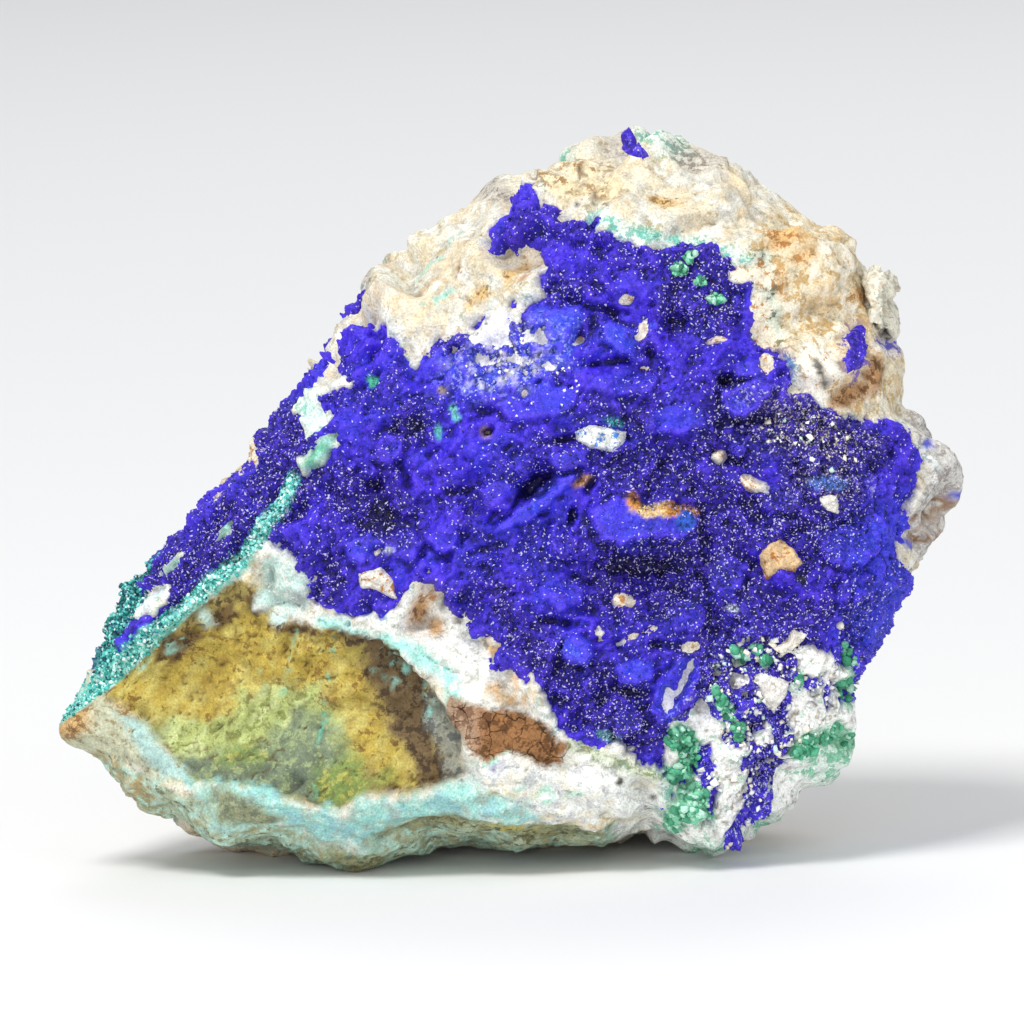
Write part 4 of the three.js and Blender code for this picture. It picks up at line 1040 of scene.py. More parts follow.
def rock_shape():
    """Chips and ledges of the rock: stepped on the broken face, rough below, flat on the mud."""
    broken, mud = region(BROKEN_FACE, 0.5, -0.5), region(MUD, 0.25, -0.25, 0.4)
    band, lower = region(BAND, 0.8, -1.2), region(LOWER_STRIP, 0.6, -0.6)
    slant = surface * (1, 1, 1.3) @ SLANT
    rock_lumps = eased(chips(slant, 8, 21)[0], surface_tri, 9)
    rock_blocks = eased(chips(slant, 3.2, 22)[0], surface_tri, 5)
    rock_bits = eased(chips(surface, 1.2, 23)[0], surface_tri, 1)
    ledges = np.abs(noise(slant * (0.35, 1, 1), 1.8, 28))
    relief = (
        5.2 * rock_lumps + 1.5 * rock_blocks + 0.3 * rock_bits + 0.4 * cloud(surface, 3, 5, 25)
        - 0.35 * smooth_step(0.1, 0, ledges)
    )
    steps = eased(chips(surface @ STRATA * (0.5, 1, 1), 2.4, 35)[0], surface_tri, 1)
    face_relief = (
        0.9 * rock_blocks + 1.5 * steps + 0.3 * rock_bits + 0.25 * cloud(surface, 4, 4, 35)
        - 0.3 * fine_cracks(surface, 0.06) - 0.9
    )
    relief += (face_relief - relief) * broken
    relief += lower * (0.7 * chips(surface, 1.9, 36)[0] + 0.2 * cloud(surface, 1.1, 3, 27)) + 0.5 * band
    relief *= 1 - 0.45 * np.maximum(lower, band)
    return relief + mud * (0.3 - relief * 0.6)


crust_relief, rock_relief = crust_shape(), rock_shape()
crust_lift = np.clip(0.9 * crust, -1.3, 0.45) - 0.25
rock_dip = 0.7 * smooth_step(0.1, 1, crust) + 3.6 * smooth_step(1, 3, crust)  # the rock sinks below the crust
sunk = smooth_step(0.1, -0.4, crust)  # past its edge the crust stays below the rock
crust_relief += (np.minimum(crust_relief, rock_relief) - crust_relief) * sunk
rock_relief += (crust_relief - rock_relief) * smooth_step(-0.4, 0.5, crust)

rock_co = surface + surface_normal * (rock_relief - rock_dip)[:, None]
crust_co = surface + surface_normal * (crust_relief + crust_lift)[:, None]
forward = (slab_lift - hollow) * facing * smooth_step(0, 1.2, crust)
crust_co[:, 1] -= forward
rock_co[:, 1] -= forward

fit_silhouette([(rock_co, crust < 0.3), (crust_co, crust > 0)])
rock_co = above_floor(rock_co)
crust_co = above_floor(crust_co)

# ---- Materials ----


class Nodes:
    """A material's node tree, built a node at a time."""

    def __init__(self, name, specular):
        self.material = bpy.data.materials.new(name)
        self.material.use_nodes = True
        self.tree = self.material.node_tree
        self.shader = self.tree.nodes["Principled BSDF"]
        self.shader.inputs["Specular IOR Level"].default_value = specular
        self.place = self.tree.nodes.new("ShaderNodeTexCoord").outputs["Object"]

    def link(self, source, target):
        self.tree.links.new(source, target)

    def attribute(self, name, output="Fac"):
        node = self.tree.nodes.new("ShaderNodeAttribute")
        node.attribute_name = name
        return node.outputs[output]

    def noise(self, size, detail=4, roughness=0.6):
        node = self.tree.nodes.new("ShaderNodeTexNoise")
        node.inputs["Scale"].default_value = 1 / (size * MM)
        node.inputs["Detail"].default_value = detail
        node.inputs["Roughness"].default_value = roughness
        self.link(self.place, node.inputs["Vector"])
        return node.outputs["Fac"]

    def cells(self, size, feature="F1", warp=None):
        node = self.tree.nodes.new("ShaderNodeTexVoronoi")
        node.feature = feature
        node.inputs["Scale"].default_value = 1 / (size * MM)
        self.link(warp if warp else self.place, node.inputs["Vector"])
        return node

    def remap(self, value, low, high, to_low, to_high):
        """A value, mapped from low..high to to_low..to_high; the targets may be numbers or sockets."""
        node = self.tree.nodes.new("ShaderNodeMapRange")
        self.link(value, node.inputs["Value"])
        for key, x in (("From Min", low), ("From Max", high), ("To Min", to_low), ("To Max", to_high)):
            if isinstance(x, bpy.types.NodeSocket):
                self.link(x, node.inputs[key])
            else:
                node.inputs[key].default_value = x
        return node.outputs["Result"]

    def times(self, color, factor):
        node = self.tree.nodes.new("ShaderNodeVectorMath")
        node.operation = "SCALE"
        self.link(color, node.inputs[0])
        self.link(factor, node.inputs["Scale"])
        return node.outputs["Vector"]

    def math(self, operation, a, b):
        node = self.tree.nodes.new("ShaderNodeMath")
        node.operation = operation
        self.link(a, node.inputs[0])
        self.link(b, node.inputs[1])
        return node.outputs["Value"]

    def mixed(self, factor, color, rgb):
        """color, and rgb where factor is 1."""
        node = self.tree.nodes.new("ShaderNodeMix")
        node.data_type = "RGBA"
        self.link(factor, node.inputs["Factor"])
        self.link(color, node.inputs["A"])
        node.inputs["B"].default_value = (*lin(rgb), 1)
        return node.outputs["Result"]

    def bump(self, height, strength, distance, below=None):
        node = self.tree.nodes.new("ShaderNodeBump")
        node.inputs["Strength"].default_value = strength
        node.inputs["Distance"].default_value = distance * MM
        self.link(height, node.inputs["Height"])
        if below:
            self.link(below, node.inputs["Normal"])
        return node.outputs["Normal"]

    def finish(self, color, roughness, normal):
        self.link(color, self.shader.inputs["Base Color"])
        self.link(roughness, self.shader.inputs["Roughness"])
        self.link(normal, self.shader.inputs["Normal"])
        return self.material


def two_colours(n, size, sharp):
    """The colour paint, with spots of the colour second over the share of the surface that has it."""
    field = n.noise(size, 6, 0.72)
    level = n.remap(n.attribute("share"), 0, 1, 0.63, 0.37)
    mask = n.remap(n.math("SUBTRACT", field, level), -sharp, sharp, 0, 1)
    mix = n.tree.nodes.new("ShaderNodeMix")
    mix.data_type = "RGBA"
    n.link(mask, mix.inputs["Factor"])
    n.link(n.attribute("paint", "Color"), mix.inputs["A"])
    n.link(n.attribute("second", "Color"), mix.inputs["B"])
    return mix.outputs["Result"]


def stone_material(
    name, roughness=(0.7, 0.95), mottle=0.16, grain=0.26, specks=0.6, cracked=False, specular=0.3
):
    """Painted colours with mottling, grain and dark pits; drying cracks where the attribute cracked is 1."""
    n = Nodes(name, specular)
    coarse = n.noise(1.3, 6, 0.7)
    fine = n.noise(0.22, 3, 0.6)
    color = n.times(two_colours(n, 1.1, 0.02), n.remap(coarse, 0.35, 0.65, 1 - mottle, 1 + mottle))
    color = n.times(color, n.remap(fine, 0.3, 0.7, 1 - grain, 1 + grain))
    pits = n.remap(n.cells(0.5).outputs["Distance"], 0.1, 0.2, 1, 0)
    pits = n.math("MULTIPLY", pits, n.remap(n.noise(2.4, 3, 0.6), 0.58, 0.66, 0, specks))
    color = n.mixed(pits, color, (96, 76, 52))
    normal = n.bump(coarse, 0.6, 0.6)
    normal = n.bump(fine, 0.5, 0.14, normal)
    if cracked:
        # The cells are bent by noise, so that the cracks between them aren't straight.
        warp = n.tree.nodes.new("ShaderNodeVectorMath")
        warp.operation = "MULTIPLY_ADD"
        shift = n.tree.nodes.new("ShaderNodeTexNoise")
        shift.inputs["Scale"].default_value = 1 / (1.5 * MM)
        shift.inputs["Detail"].default_value = 5
        n.link(n.place, shift.inputs["Vector"])
        n.link(shift.outputs["Color"], warp.inputs[0])
        warp.inputs[1].default_value = (1.6 * MM,) * 3
        n.link(n.place, warp.inputs[2])
        gap = n.cells(1.9, "DISTANCE_TO_EDGE", warp.outputs["Vector"]).outputs["Distance"]
        crack = n.math("MULTIPLY", n.remap(gap, 0.008, 0.035, 1, 0), n.attribute("cracked"))
        crack = n.math("MULTIPLY", crack, n.remap(n.noise(1.6, 3, 0.6), 0.4, 0.55, 0.25, 1))
        color = n.mixed(crack, color, (58, 34, 18))
        normal = n.bump(n.remap(crack, 0, 1, 1, 0), 0.7, 0.25, normal)
    return n.finish(color, n.remap(fine, 0.3, 0.7, *roughness), normal)


def azurite_surface(name):
    """A druse too fine to model: bright and dark grains, and pale glints where the attribute grit is high."""
    n = Nodes(name, 0.3)
    grit = n.attribute("grit")
    fine = n.noise(0.15, 3, 0.7)
    grains = n.cells(0.26)
    split = n.tree.nodes.new("ShaderNodeSeparateColor")
    n.link(grains.outputs["Color"], split.inputs["Color"])
    low = n.remap(grit, 0, 1, 0.8, 0.16)
    high = n.remap(grit, 0, 1, 1.15, 1.1)
    color = n.times(two_colours(n, 0.5, 0.03), n.remap(split.outputs["Red"], 0, 1, low, high))
    color = n.times(color, n.remap(fine, 0.3, 0.7, 0.7, 1.3))
    # Painted highlight: pale glints mixed into the base colour on some grains, more where grit is high.
    rare = n.remap(grit, 0, 1, 0.985, 0.82)
    glint = n.math("GREATER_THAN", split.outputs["Green"], rare)
    tip = n.remap(grains.outputs["Distance"], 0.26, 0.42, 0.9, 0)
    color = n.mixed(n.math("MULTIPLY", glint, tip), color, (206, 200, 244))
    normal = n.bump(fine, 0.4, 0.12)
    normal = n.bump(grains.outputs["Distance"], 0.6, 0.12, normal)
    return n.finish(color, n.remap(split.outputs["Blue"], 0, 1, 0.35, 0.7), normal)


def grain_material(name, roughness, variation, size, specular):
    """Painted colours with a fine grain, for crystals and beads."""
    n = Nodes(name, specular)
    fine = n.noise(size, 4, 0.65)
    color = n.times(n.attribute("paint", "Color"), n.remap(fine, 0.3, 0.7, 1 - variation, 1 + variation))
    return n.finish(color, n.remap(fine, 0.3, 0.7, *roughness), n.bump(fine, 0.5, size * 0.5))


rock_material = stone_material("host_rock_surface", cracked=True)
chip_material = stone_material("rock_chip_surface", specks=0.3)
quartz_material = stone_material("quartz_surface", (0.2, 0.5), 0.1, 0.1, 0.2, specular=0.5)
azurite_material = azurite_surface("azurite_surface")
crystal_material = grain_material("azurite_crystals", (0.2, 0.5), 0.15, 0.2, 0.4)
malachite_material = grain_material("malachite_surface", (0.4, 0.7), 0.25, 0.2, 0.3)

# ---- Painting the rock ----

MALACHITE_SPOTS = [(x, z, w + 0.3, h + 0.3, 0) for blobs in MALACHITE.values() for x, z, w, h, _ in blobs]
LAYERED = (0.4, 1, 1)  # stretches patches along the rock's layers


def paint_cream(paint):
    """The rock's ground colours: cream, with tan and grey patches along its layers."""
    lay = paint.lay
    lay((228, 220, 200), 0.7, 6, 0.4)
    lay((216, 216, 208), 0.7, 3.6, 0.36)
    lay((228, 208, 170), 0.5, 2.6, 0.24, LAYERED)
    lay((246, 244, 236), 0.7, 2.4, 0.28)
    lay((186, 178, 158), 0.5, 0.9, 0.12, LAYERED)
    lay((196, 192, 178), 0.5, 1.2, 0.14, LAYERED)
    lay((214, 184, 132), 0.5, 1.2, 0.1)


def paint_behind(paint):
    """Behind, the same rock is more weathered."""
    lay = paint.lay
    behind = 1 - paint.front
    paint.zone((216, 200, 166), (150, 120, 80), 0.3, 0.8 * behind)
    lay((182, 142, 88), 0.7 * behind, 6, 0.28)
    lay((156, 152, 134), 0.6 * behind, 9, 0.35)
    lay((128, 190, 178), 0.6 * behind, 5, 0.14)
    lay((240, 234, 218), 0.7 * behind, 3, 0.3)
    lay((104, 84, 56), 0.7 * behind, 1.4, 0.1)


def paint_crown(paint):
    """The crown: rusty stains, a black crack, an orange seam and turquoise streaks."""
    lay, stain, trace = paint.lay, paint.stain, paint.trace
    top = paint.front * smooth_step(42, 50, paint.p[:, 2])
    lay((230, 208, 166), 0.5 * top, 5, 0.22)
    brown = paint.front * paint.spots(CROWN_STAINS, 1.2, 1.2)
    paint.zone((240, 222, 178), (150, 104, 44), 0.5, 0.85 * brown)
    lay((92, 58, 24), 0.9 * brown, 0.8, 0.24)
    stain((214, 178, 112), (130, 84, 36), 0.45, 0.9, CROWN_RUST, 0.4)
    trace((50, 42, 34), 0.9, [(6.4, 66.6), (8.2, 66.9), (10.2, 66.7)], 0.06, 0.1, 0.2)
    trace((176, 122, 62), 0.9, [(1.3, 58.4), (1.9, 60), (3, 61.8)], 0.16, 0.15)
    trace((150, 104, 60), 0.8, [(-5.2, 59), (-4.9, 61.4), (-4.3, 63.2), (-3.8, 66)], 0.06, 0.1, 0.3)
    lay((196, 160, 108), paint.on_spots(0.6, [(-9.5, 58.5, 2.6, 0.4, 35), (-12.5, 60.7, 0.8, 0.4, 0)], 0.4))
    for streak in CROWN_STREAKS:
        lay((140, 214, 200), 0.8 * paint.front * paint.line(streak, 0.16, 0.2, 0.6), 0.8, 0.6)
    green = paint.front * paint.spots([(15, 73.2, 3, 1.4, -8), (4.6, 71.6, 1.4, 0.5, 20)], 0.6, 1.2)
    paint.zone((226, 236, 224), (120, 190, 172), 0.5, 0.9 * green)
    stain((196, 190, 180), (130, 122, 116), 0.4, 0.8, CROWN_GREY, 0.5)
    fringe = paint.front * paint.line(CROWN_FRINGE, 0.8, 0.7, 0.8)
    paint.zone((222, 236, 226), (112, 196, 178), 0.55, 0.95 * fringe)


def paint_tan_block(paint):
    """The tan block at the right shoulder and what stains it."""
    lay, zone, stain = paint.lay, paint.zone, paint.stain
    block = paint.front * paint.area(TAN_BLOCK, 1)
    zone((222, 210, 180), (200, 166, 112), 0.45, 0.9 * block)
    lay((214, 182, 132), 0.6 * block, 3, 0.3)
    lay((246, 240, 224), 0.7 * block, 1.8, 0.32)
    zone((222, 176, 112), (160, 100, 44), 0.5, 0.8 * block * paint.spots(BLOCK_RUST, 0.6))
    stain((170, 124, 78), (96, 60, 34), 0.45, 0.9, [(34.2, 48.1, 3, 1.1, 20), (36.8, 50.4, 1.2, 2, 0)], 0.5)
    zone((246, 240, 226), (196, 160, 110), 0.2, paint.front * paint.area(BLOCK_FOOT, 0.3))
    lay((92, 88, 84), paint.on_spots(0.95, BLOCK_HOLES, 0.15))
    strip = paint.front * paint.line([(24.6, 61), (25, 58.5), (25.6, 55.5), (26.2, 53.4)], 0.9, 0.5, 0.8)
    zone((206, 218, 204), (84, 112, 100), 0.5, 0.9 * strip)
    stain((222, 200, 166), (84, 70, 200), 0.5, 0.85, [(34.4, 52.3, 1.8, 3, -8), (27, 50.4, 0.9, 1.6, 0)], 0.6)
    stain((214, 210, 214), (70, 84, 214), 0.5, 0.85, [(38.2, 53.6, 0.7, 1.5, 0)], 0.5)


def paint_boss(paint):
    """The grey-white boss at the right."""
    boss = paint.front * paint.area(BOSS, 0.5)
    paint.zone((208, 206, 200), (160, 154, 152), 0.42, 0.95 * boss)
    paint.lay((134, 94, 52), 0.9 * boss * paint.spots(BOSS_VEINS, 0.2), 0.7, 0.75)
    paint.lay((84, 92, 206), 0.9 * boss * paint.spots(BOSS_BLUE, 0.15))


def paint_limb(paint):
    """The cream limb between the crust and the broken face."""
    lay = paint.lay
    limb = paint.front * paint.area(LIMB, 0.5)
    paint.zone((244, 244, 236), (206, 210, 200), 0.25, 0.95 * limb)
    paint.stain((208, 160, 96), (124, 76, 34), 0.5, 0.9, LIMB_RUST, 0.5)
    lay((90, 76, 58), paint.on_spots(0.8, LIMB_HOLES, 0.15))
    lay((224, 178, 112), paint.on_spots(0.8, LIMB_WARM, 0.4), 0.9, 0.7)
    rim = paint.front * paint.line(LIMB_RIM, 0.65, 0.4, 0.8)
    paint.zone((166, 230, 218), (226, 240, 230), 0.3, 0.95 * rim)


def paint_apron(paint):
    """The pale apron below the crust, with dark specks and turquoise blobs."""
    lay = paint.lay
    apron = paint.front * paint.area(APRON, 0.8)
    paint.zone((244, 246, 241), (212, 214, 214), 0.4, 0.95 * apron)
    lay((232, 222, 194), 0.6 * apron, 2.2, 0.24)
    lay((146, 216, 188), paint.on_spots(0.8, APRON_BLOBS, 0.4), 0.7, 0.7)
    lay((118, 110, 190), paint.on_spots(0.8, [(-1.2, 10.9, 0.9, 0.6, 0)], 0.3), 0.5, 0.6)
    lay((70, 62, 52), paint.on_spots(0.95, APRON_DOTS, 0.1, 0.3))
    mossy = paint.front * paint.line([(6, 13), (8.6, 12), (11.5, 11.2), (14, 10.3)], 0.8, 0.6, 0.9)
    paint.zone((214, 222, 196), (150, 160, 104), 0.45, 0.9 * mossy)
    lay((222, 188, 122), paint.on_spots(0.85, APRON_OCHRE, 0.4), 0.8, 0.6)


def paint_broken_face(paint, face):
    """The broken face: gold above, turning lime green and then grey-green, with brown patches."""
    p, lay, zone, area = paint.p, paint.lay, paint.zone, paint.area
    zone((160, 142, 84), (100, 84, 52), 0.35, face)
    gold = face * area(GOLD, 0.8, 1.8)
    zone((190, 166, 76), (140, 110, 52), 0.34, 0.95 * gold)
    lay((204, 192, 112), 0.75 * gold, 1.6, 0.4, LAYERED)
    lay((150, 122, 58), 0.55 * gold, 0.8, 0.28, LAYERED)
    lay((178, 158, 70), 0.5 * gold, 0.5, 0.3)
    lime = face * area(LIME, 0.8, 2)
    zone((176, 188, 118), (140, 148, 84), 0.4, 0.92 * lime)
    lay((204, 214, 154), 0.7 * lime, 1.2, 0.32, LAYERED)
    green = face * area(GREY_GREEN, 0.7, 2)
    zone((120, 134, 110), (152, 166, 122), 0.42, 0.94 * green)
    lay((92, 102, 90), 0.7 * green * smooth_step(13.5, 10, p[:, 2]), 2.2, 0.5)
    moss = face * paint.spots([(-17, 9, 3, 3, 10), (-27.4, 12, 1.8, 1, 0), (-12.6, 9.6, 1.6, 1, 0)], 1, 1.8)
    zone((132, 152, 78), (176, 172, 84), 0.3, 0.85 * moss)
    dark = face * area(DARK_BROWN, 0.3, 2.2)
    zone((108, 88, 62), (70, 56, 40), 0.42, 0.95 * dark)
    streak = face * area(GREY_STREAK, 0.6, 1.2)
    zone((142, 144, 132), (98, 102, 100), 0.42, 0.92 * streak)
    zone((110, 86, 56), (68, 52, 36), 0.42, 0.92 * face * paint.spots(FACE_BROWN, 0.3, 1.6))
    lay((180, 164, 84), 0.85 * face * area([(-17.1, 22.6), (-15.2, 22.4), (-14.6, 21), (-16.5, 20.5)], 0.2))
    lay((104, 82, 44), 0.8 * face * fine_cracks(p, 0.07), 3, 0.5)
    ledge = smooth_step(0.1, 0.0, np.abs(noise(p @ STRATA * (0.35, 1, 1), 2.2, 37) + 0.3 * noise(p, 1.2, 38)))
    lay((122, 92, 44), 0.6 * gold * ledge, 4, 0.5)


def paint_turquoise(paint, face):
    """Veins and crusts of turquoise on the broken face."""
    lay = paint.lay
    for path, width, amount in FACE_VEINS:
        lay((108, 196, 172), amount * face * paint.line(path, width, 0.1, 0.2), 1.6, 0.75)
    upper = paint.line([(-37.6, 20.2), (-35.4, 21.6), (-33, 23)], 0.3, 0.3, 0.9)
    lay((160, 226, 212), 0.8 * face * upper, 0.9, 0.5)
    right = paint.spots([(-12, 20.6, 1.8, 1.8, 0), (-8.6, 18.6, 0.5, 2, 10)], 0.5, 1.2)
    lay((150, 222, 208), 0.85 * face * right, 0.6, 0.24)
    lay((214, 242, 234), paint.on_spots(0.9, [(-23.6, 25.6, 0.7, 1, 20), (-30.8, 25.4, 0.8, 1.2, 30)], 0.3))


def paint_foot(paint):
    """The pale panel at the far left, the blue-green band and the rough strip beneath."""
    lay, zone, area, front = paint.lay, paint.zone, paint.area, paint.front
    panel = front * area(LEFT_PANEL, 0.4)
    zone((194, 196, 168), (158, 146, 108), 0.25, 0.95 * panel)
    lay((172, 210, 206), 0.85 * front * area(PANEL_BLUE, 0.6))
    tips = paint.spots([(-43, 15.8, 2.2, 1.6, 20), (-38.4, 17, 1.4, 0.5, -40)], 0.6)
    zone((206, 164, 104), (140, 96, 50), 0.45, 0.85 * panel * tips)
    low_rock = front * area(LOWER_STRIP, 0.6, 1.4)
    zone((176, 190, 162), (116, 120, 88), 0.42, 0.95 * low_rock)
    zone((150, 146, 110), (176, 220, 206), 0.4, 0.9 * low_rock * paint.patchy(3, 0.4))
    lay((188, 226, 214), 0.85 * low_rock, 1, 0.32, LAYERED)
    lay((186, 150, 92), 0.75 * low_rock * smooth_step(-34, -40, paint.p[:, 0]), 1.2, 0.5)
    blue = front * area(BAND, 0.7, 1.8)
    zone((156, 214, 206), (196, 230, 216), 0.32, 0.97 * blue)
    lay((150, 196, 204), 0.7 * blue, 2, 0.3)
    lay((170, 180, 166), 0.7 * blue, 1.4, 0.16)
    paint.stain((146, 142, 98), (96, 92, 60), 0.45, 0.85, FOOT_ROUGH, 0.5, 1.2)
    lay((190, 174, 84), paint.on_spots(0.8, [(-0.4, 4.2, 2.4, 0.7, 0)], 0.5, 1), 0.8, 0.6)


def paint_mud(paint):
    """The cracked brown patch."""
    mud_area = paint.front * paint.area(MUD, 0.25, 0.7)
    paint.zone((150, 106, 66), (104, 70, 40), 0.42, mud_area)
    left = smooth_step(-2.4, -4.4, paint.p[:, 0])
    paint.zone((180, 152, 128), (138, 104, 80), 0.4, 0.9 * mud_area * left)


def paint_crust_bed(paint, face, depth, low):
    """Rock under and between the azurite: white and pale green, turquoise where the two meet, and painted
    shade where it is sunken.
    """
    p, front, lay, zone, stain = paint.p, paint.front, paint.lay, paint.zone, paint.stain
    corner = front * smooth_step(1.5, -1, outline_distance(p, MIXED))
    zone((250, 250, 246), (190, 216, 200), 0.25, 0.95 * corner)
    lay((112, 92, 66), 0.85 * corner, 0.5, 0.05)
    stain((226, 240, 230), (128, 196, 162), 0.5, 0.9, PALE_GREEN, 0.7, 1.4)
    stain((116, 190, 152), (70, 150, 112), 0.4, 0.9, MALACHITE_SPOTS, 0.3, 0.8)
    white = front * paint.area(CHALK, 0.8)
    zone((253, 252, 248), (226, 222, 214), 0.1, 0.95 * white)
    fringe = front * smooth_step(-1.2, -0.1, depth) * (1 - face) * (1 - smooth_step(0.3, 0.9, mixed_share(p)))
    zone((226, 236, 236), (112, 190, 200), 0.5, 0.5 * fringe * paint.patchy(1.6, 0.4))
    block = front * paint.area(PALE_BLOCK, 0.4)
    zone((196, 226, 218), (232, 236, 230), 0.4, 0.92 * block)
    lay((150, 140, 150), 0.6 * block * paint.spots([(-21.4, 27.4, 1, 1, 0)], 0.5))
    wider = [(x, z, w + 0.4, h + 0.4, turn) for x, z, w, h, turn in BARE_SPOTS]
    bare = front * paint.spots(wider, 0.3)
    zone((240, 230, 206), (196, 136, 72), 0.36, 0.9 * bare * (1 - corner))
    for outline, rgb in zip(LEFT_PATCHES, LEFT_PATCH_COLOURS):
        zone(rgb, (150, 214, 200), 0.35, 0.95 * front * paint.area(outline, 0.7, 0.8))
    seam = front * smooth_step(1.2, 0.8, line_distance(p, SEAM) + 0.4 * paint.edge)
    zone((116, 206, 194), (206, 240, 234), 0.35, 0.92 * seam * smooth_step(-21, -23, p[:, 0]))
    zone((40, 34, 150), (70, 60, 190), 0.3, 0.95 * front * smooth_step(0.05, 0.5, depth))
    # Painted shade: darker where the rock is sunken, outside the crust.
    lay((60, 48, 40), 0.45 * smooth_step(0.12, 0.5, low) * (1 - smooth_step(0, 0.5, depth)))
    lay((253, 252, 249), paint.on_spots(0.85, [DUSTY], 1.6, 1.5))
    for outline in BARE_OUTLINES[2:5]:
        lay((251, 250, 246), 0.85 * front * paint.area(outline, 0.3, 0.4))
    lay((254, 253, 250), 0.9 * white)


def paint_rock(p, depth, low):
    """Colours of the host rock: cream and tan above, ochre and green on the broken face, blue-green below.

    depth is how far inside the crust each point is, and low how sunken it is, which darkens it as painted
    shade."""
    paint = Paint(p, (228, 227, 214), (198, 182, 148), 0.3)
    for paint_part in (
        paint_cream,
        paint_behind,
        paint_crown,
        paint_tan_block,
        paint_boss,
        paint_limb,
        paint_apron,
    ):
        paint_part(paint)
    face = paint.front * paint.area(BROKEN_FACE, 0.35, 0.8)
    paint_broken_face(paint, face)
    paint_turquoise(paint, face)
    paint_foot(paint)
    paint_mud(paint)
    paint_crust_bed(paint, face, depth, low)
    return paint


# ---- Painting the crust ----


def paint_crust(p, tone, depth, low, grit):
    """Blues of the crust: paler cobalt on broken slabs, lighter violet painted as highlight where it stands
    out, and nearly black painted as shade in hollows and sunken places.

    tone is how much lighter a slab is, depth how deep a hollow is, and low how sunken each point is."""
    paint = Paint(p, (55, 36, 208), (84, 70, 232), 0.3, 200)
    lay, zone, spots = paint.lay, paint.zone, paint.spots
    _, shade = chips(p, 3.4, 3)
    lay((84, 56, 226), 0.55 * shade)
    lay((40, 24, 172), 0.6, 4, 0.4)
    lay((52, 58, 220), 0.5, 6, 0.3)
    zone((30, 16, 132), (60, 44, 190), 0.3, 0.6 * grit)
    zone((46, 72, 214), (84, 106, 234), 0.35, 0.85 * tone)
    # White dust beside the chalk, bluer rims and cream frosting at the right, white in the mixed corner.
    dusty = spots([DUSTY], 2, 1.5)
    zone((62, 84, 226), (190, 204, 246), 0.4, 0.9 * dusty)
    lay((246, 246, 250), dusty ** 2 * smooth_step(7, 0, p[:, 0]), 1.2, 0.36)
    zone((50, 66, 216), (80, 96, 230), 0.3, 0.7 * smooth_step(31, 37, p[:, 0]) * smooth_step(40, 34, p[:, 2]))
    frosted = spots([(30, 44, 5.5, 3, -15), (27, 46.6, 3, 1.4, 0), (31.4, 39.6, 3, 2, 0)], 2, 2.4)
    zone((34, 20, 120), (222, 212, 184), 0.42, 0.9 * frosted)
    zone((50, 36, 190), (236, 240, 246), 0.24, 0.9 * mixed_share(p))
    # Painted highlight: lighter violet where the crust stands proud of its surroundings.
    lay((96, 66, 236), 0.5 * smooth_step(0, -0.25, low))
    for x, z, half_w, half_h, turn, rgb in CRUST_SPOTS:
        darker = tuple(0.7 * v for v in rgb)
        zone(rgb, darker, 0.35, 1.2 * spots([(x, z, half_w, half_h, turn)], 0.2, 0.6))
    # Painted shade: nearly black where the crust is sunken and in the hollows.
    lay((14, 8, 76), 0.85 * smooth_step(0.04, 0.3, low))
    lay((12, 6, 64), 0.8 * smooth_step(0.15, 1.2, depth))
    # Malachite shows through along the left edge and the seam.
    edge_band = smooth_step(0.4, -0.4, outline_distance(p, EDGE_BAND) + 0.5 * paint.edge)
    zone((30, 84, 96), (84, 176, 162), 0.45, 0.9 * edge_band)
    seam = smooth_step(1.0, 0.6, line_distance(p, SEAM) + 0.4 * paint.edge) * smooth_step(-20, -22, p[:, 0])
    zone((96, 190, 180), (206, 240, 234), 0.35, 0.9 * seam)
    return paint


# ---- Rock and crust ----

rng = np.random.default_rng(11)

# Under the crust the rock is thinned first, and the back more than the front.
spare = np.where(crust > 1.5, HIDDEN_SPARE, np.where(surface[:, 1] > 4, BACK_SPARE, FRONT_SPARE))
rock_v, rock_f = thinned(rock_co, surface_tri, MOST_FACES, spare)
at = nearest(rock_v, rock_co)
rock_p = surface[at] + (rock_v - rock_co[at])
piece(
    "host_rock_v", rock_v, rock_f, rock_material, "host_rock", "host_rock",
    **paint_rock(rock_p, crust[at], sunken(rock_v, rock_f)).attributes(),
    cracked=smooth_step(0.25, -0.25, outline_distance(rock_p, MUD)) * smooth_step(4, 0, rock_p[:, 1]),
)


def grit_at(p):
    """How dark and granular the azurite is, from 0 to 1."""
    best = 0.1 + 0.5 * smooth_step(-0.05, 0.4, cloud(p, 5, 3, 77))
    for spot in GRANULAR:
        best = np.maximum(best, smooth_step(1.4, -1.4, spot_distance(p, spot) + 1.6 * cloud(p, 3, 3, 78)))
    return best


covered = (crust > -1.1)[surface_tri].all(1)
crust_f, used = kept(surface_tri, covered)
crust_v = crust_co[used]
crust_grit = grit_at(surface[used]) * (1 - 0.75 * smooth_step(0.1, 0.5, slab_tone[used]))
painted = paint_crust(surface[used], slab_tone[used], hollow[used], sunken(crust_v, crust_f), crust_grit)
crust_paint = painted.color
closed_v, closed_f, behind = shell(crust_v, crust_v - CRUST_DEPTH * surface_normal[used], crust_f)
crust_c, crust_t = thinned(closed_v, closed_f, MOST_FACES, behind * 1.0)
at = nearest(crust_c, closed_v) % len(crust_v)
piece(
    "azurite_crust_v", above_floor(crust_c), crust_t, azurite_material, "azurite_crust", "azurite",
    grit=crust_grit[at], **{key: values[at] for key, values in painted.attributes().items()},
)

# ---- Scatter: crystals and grains as joined meshes ----


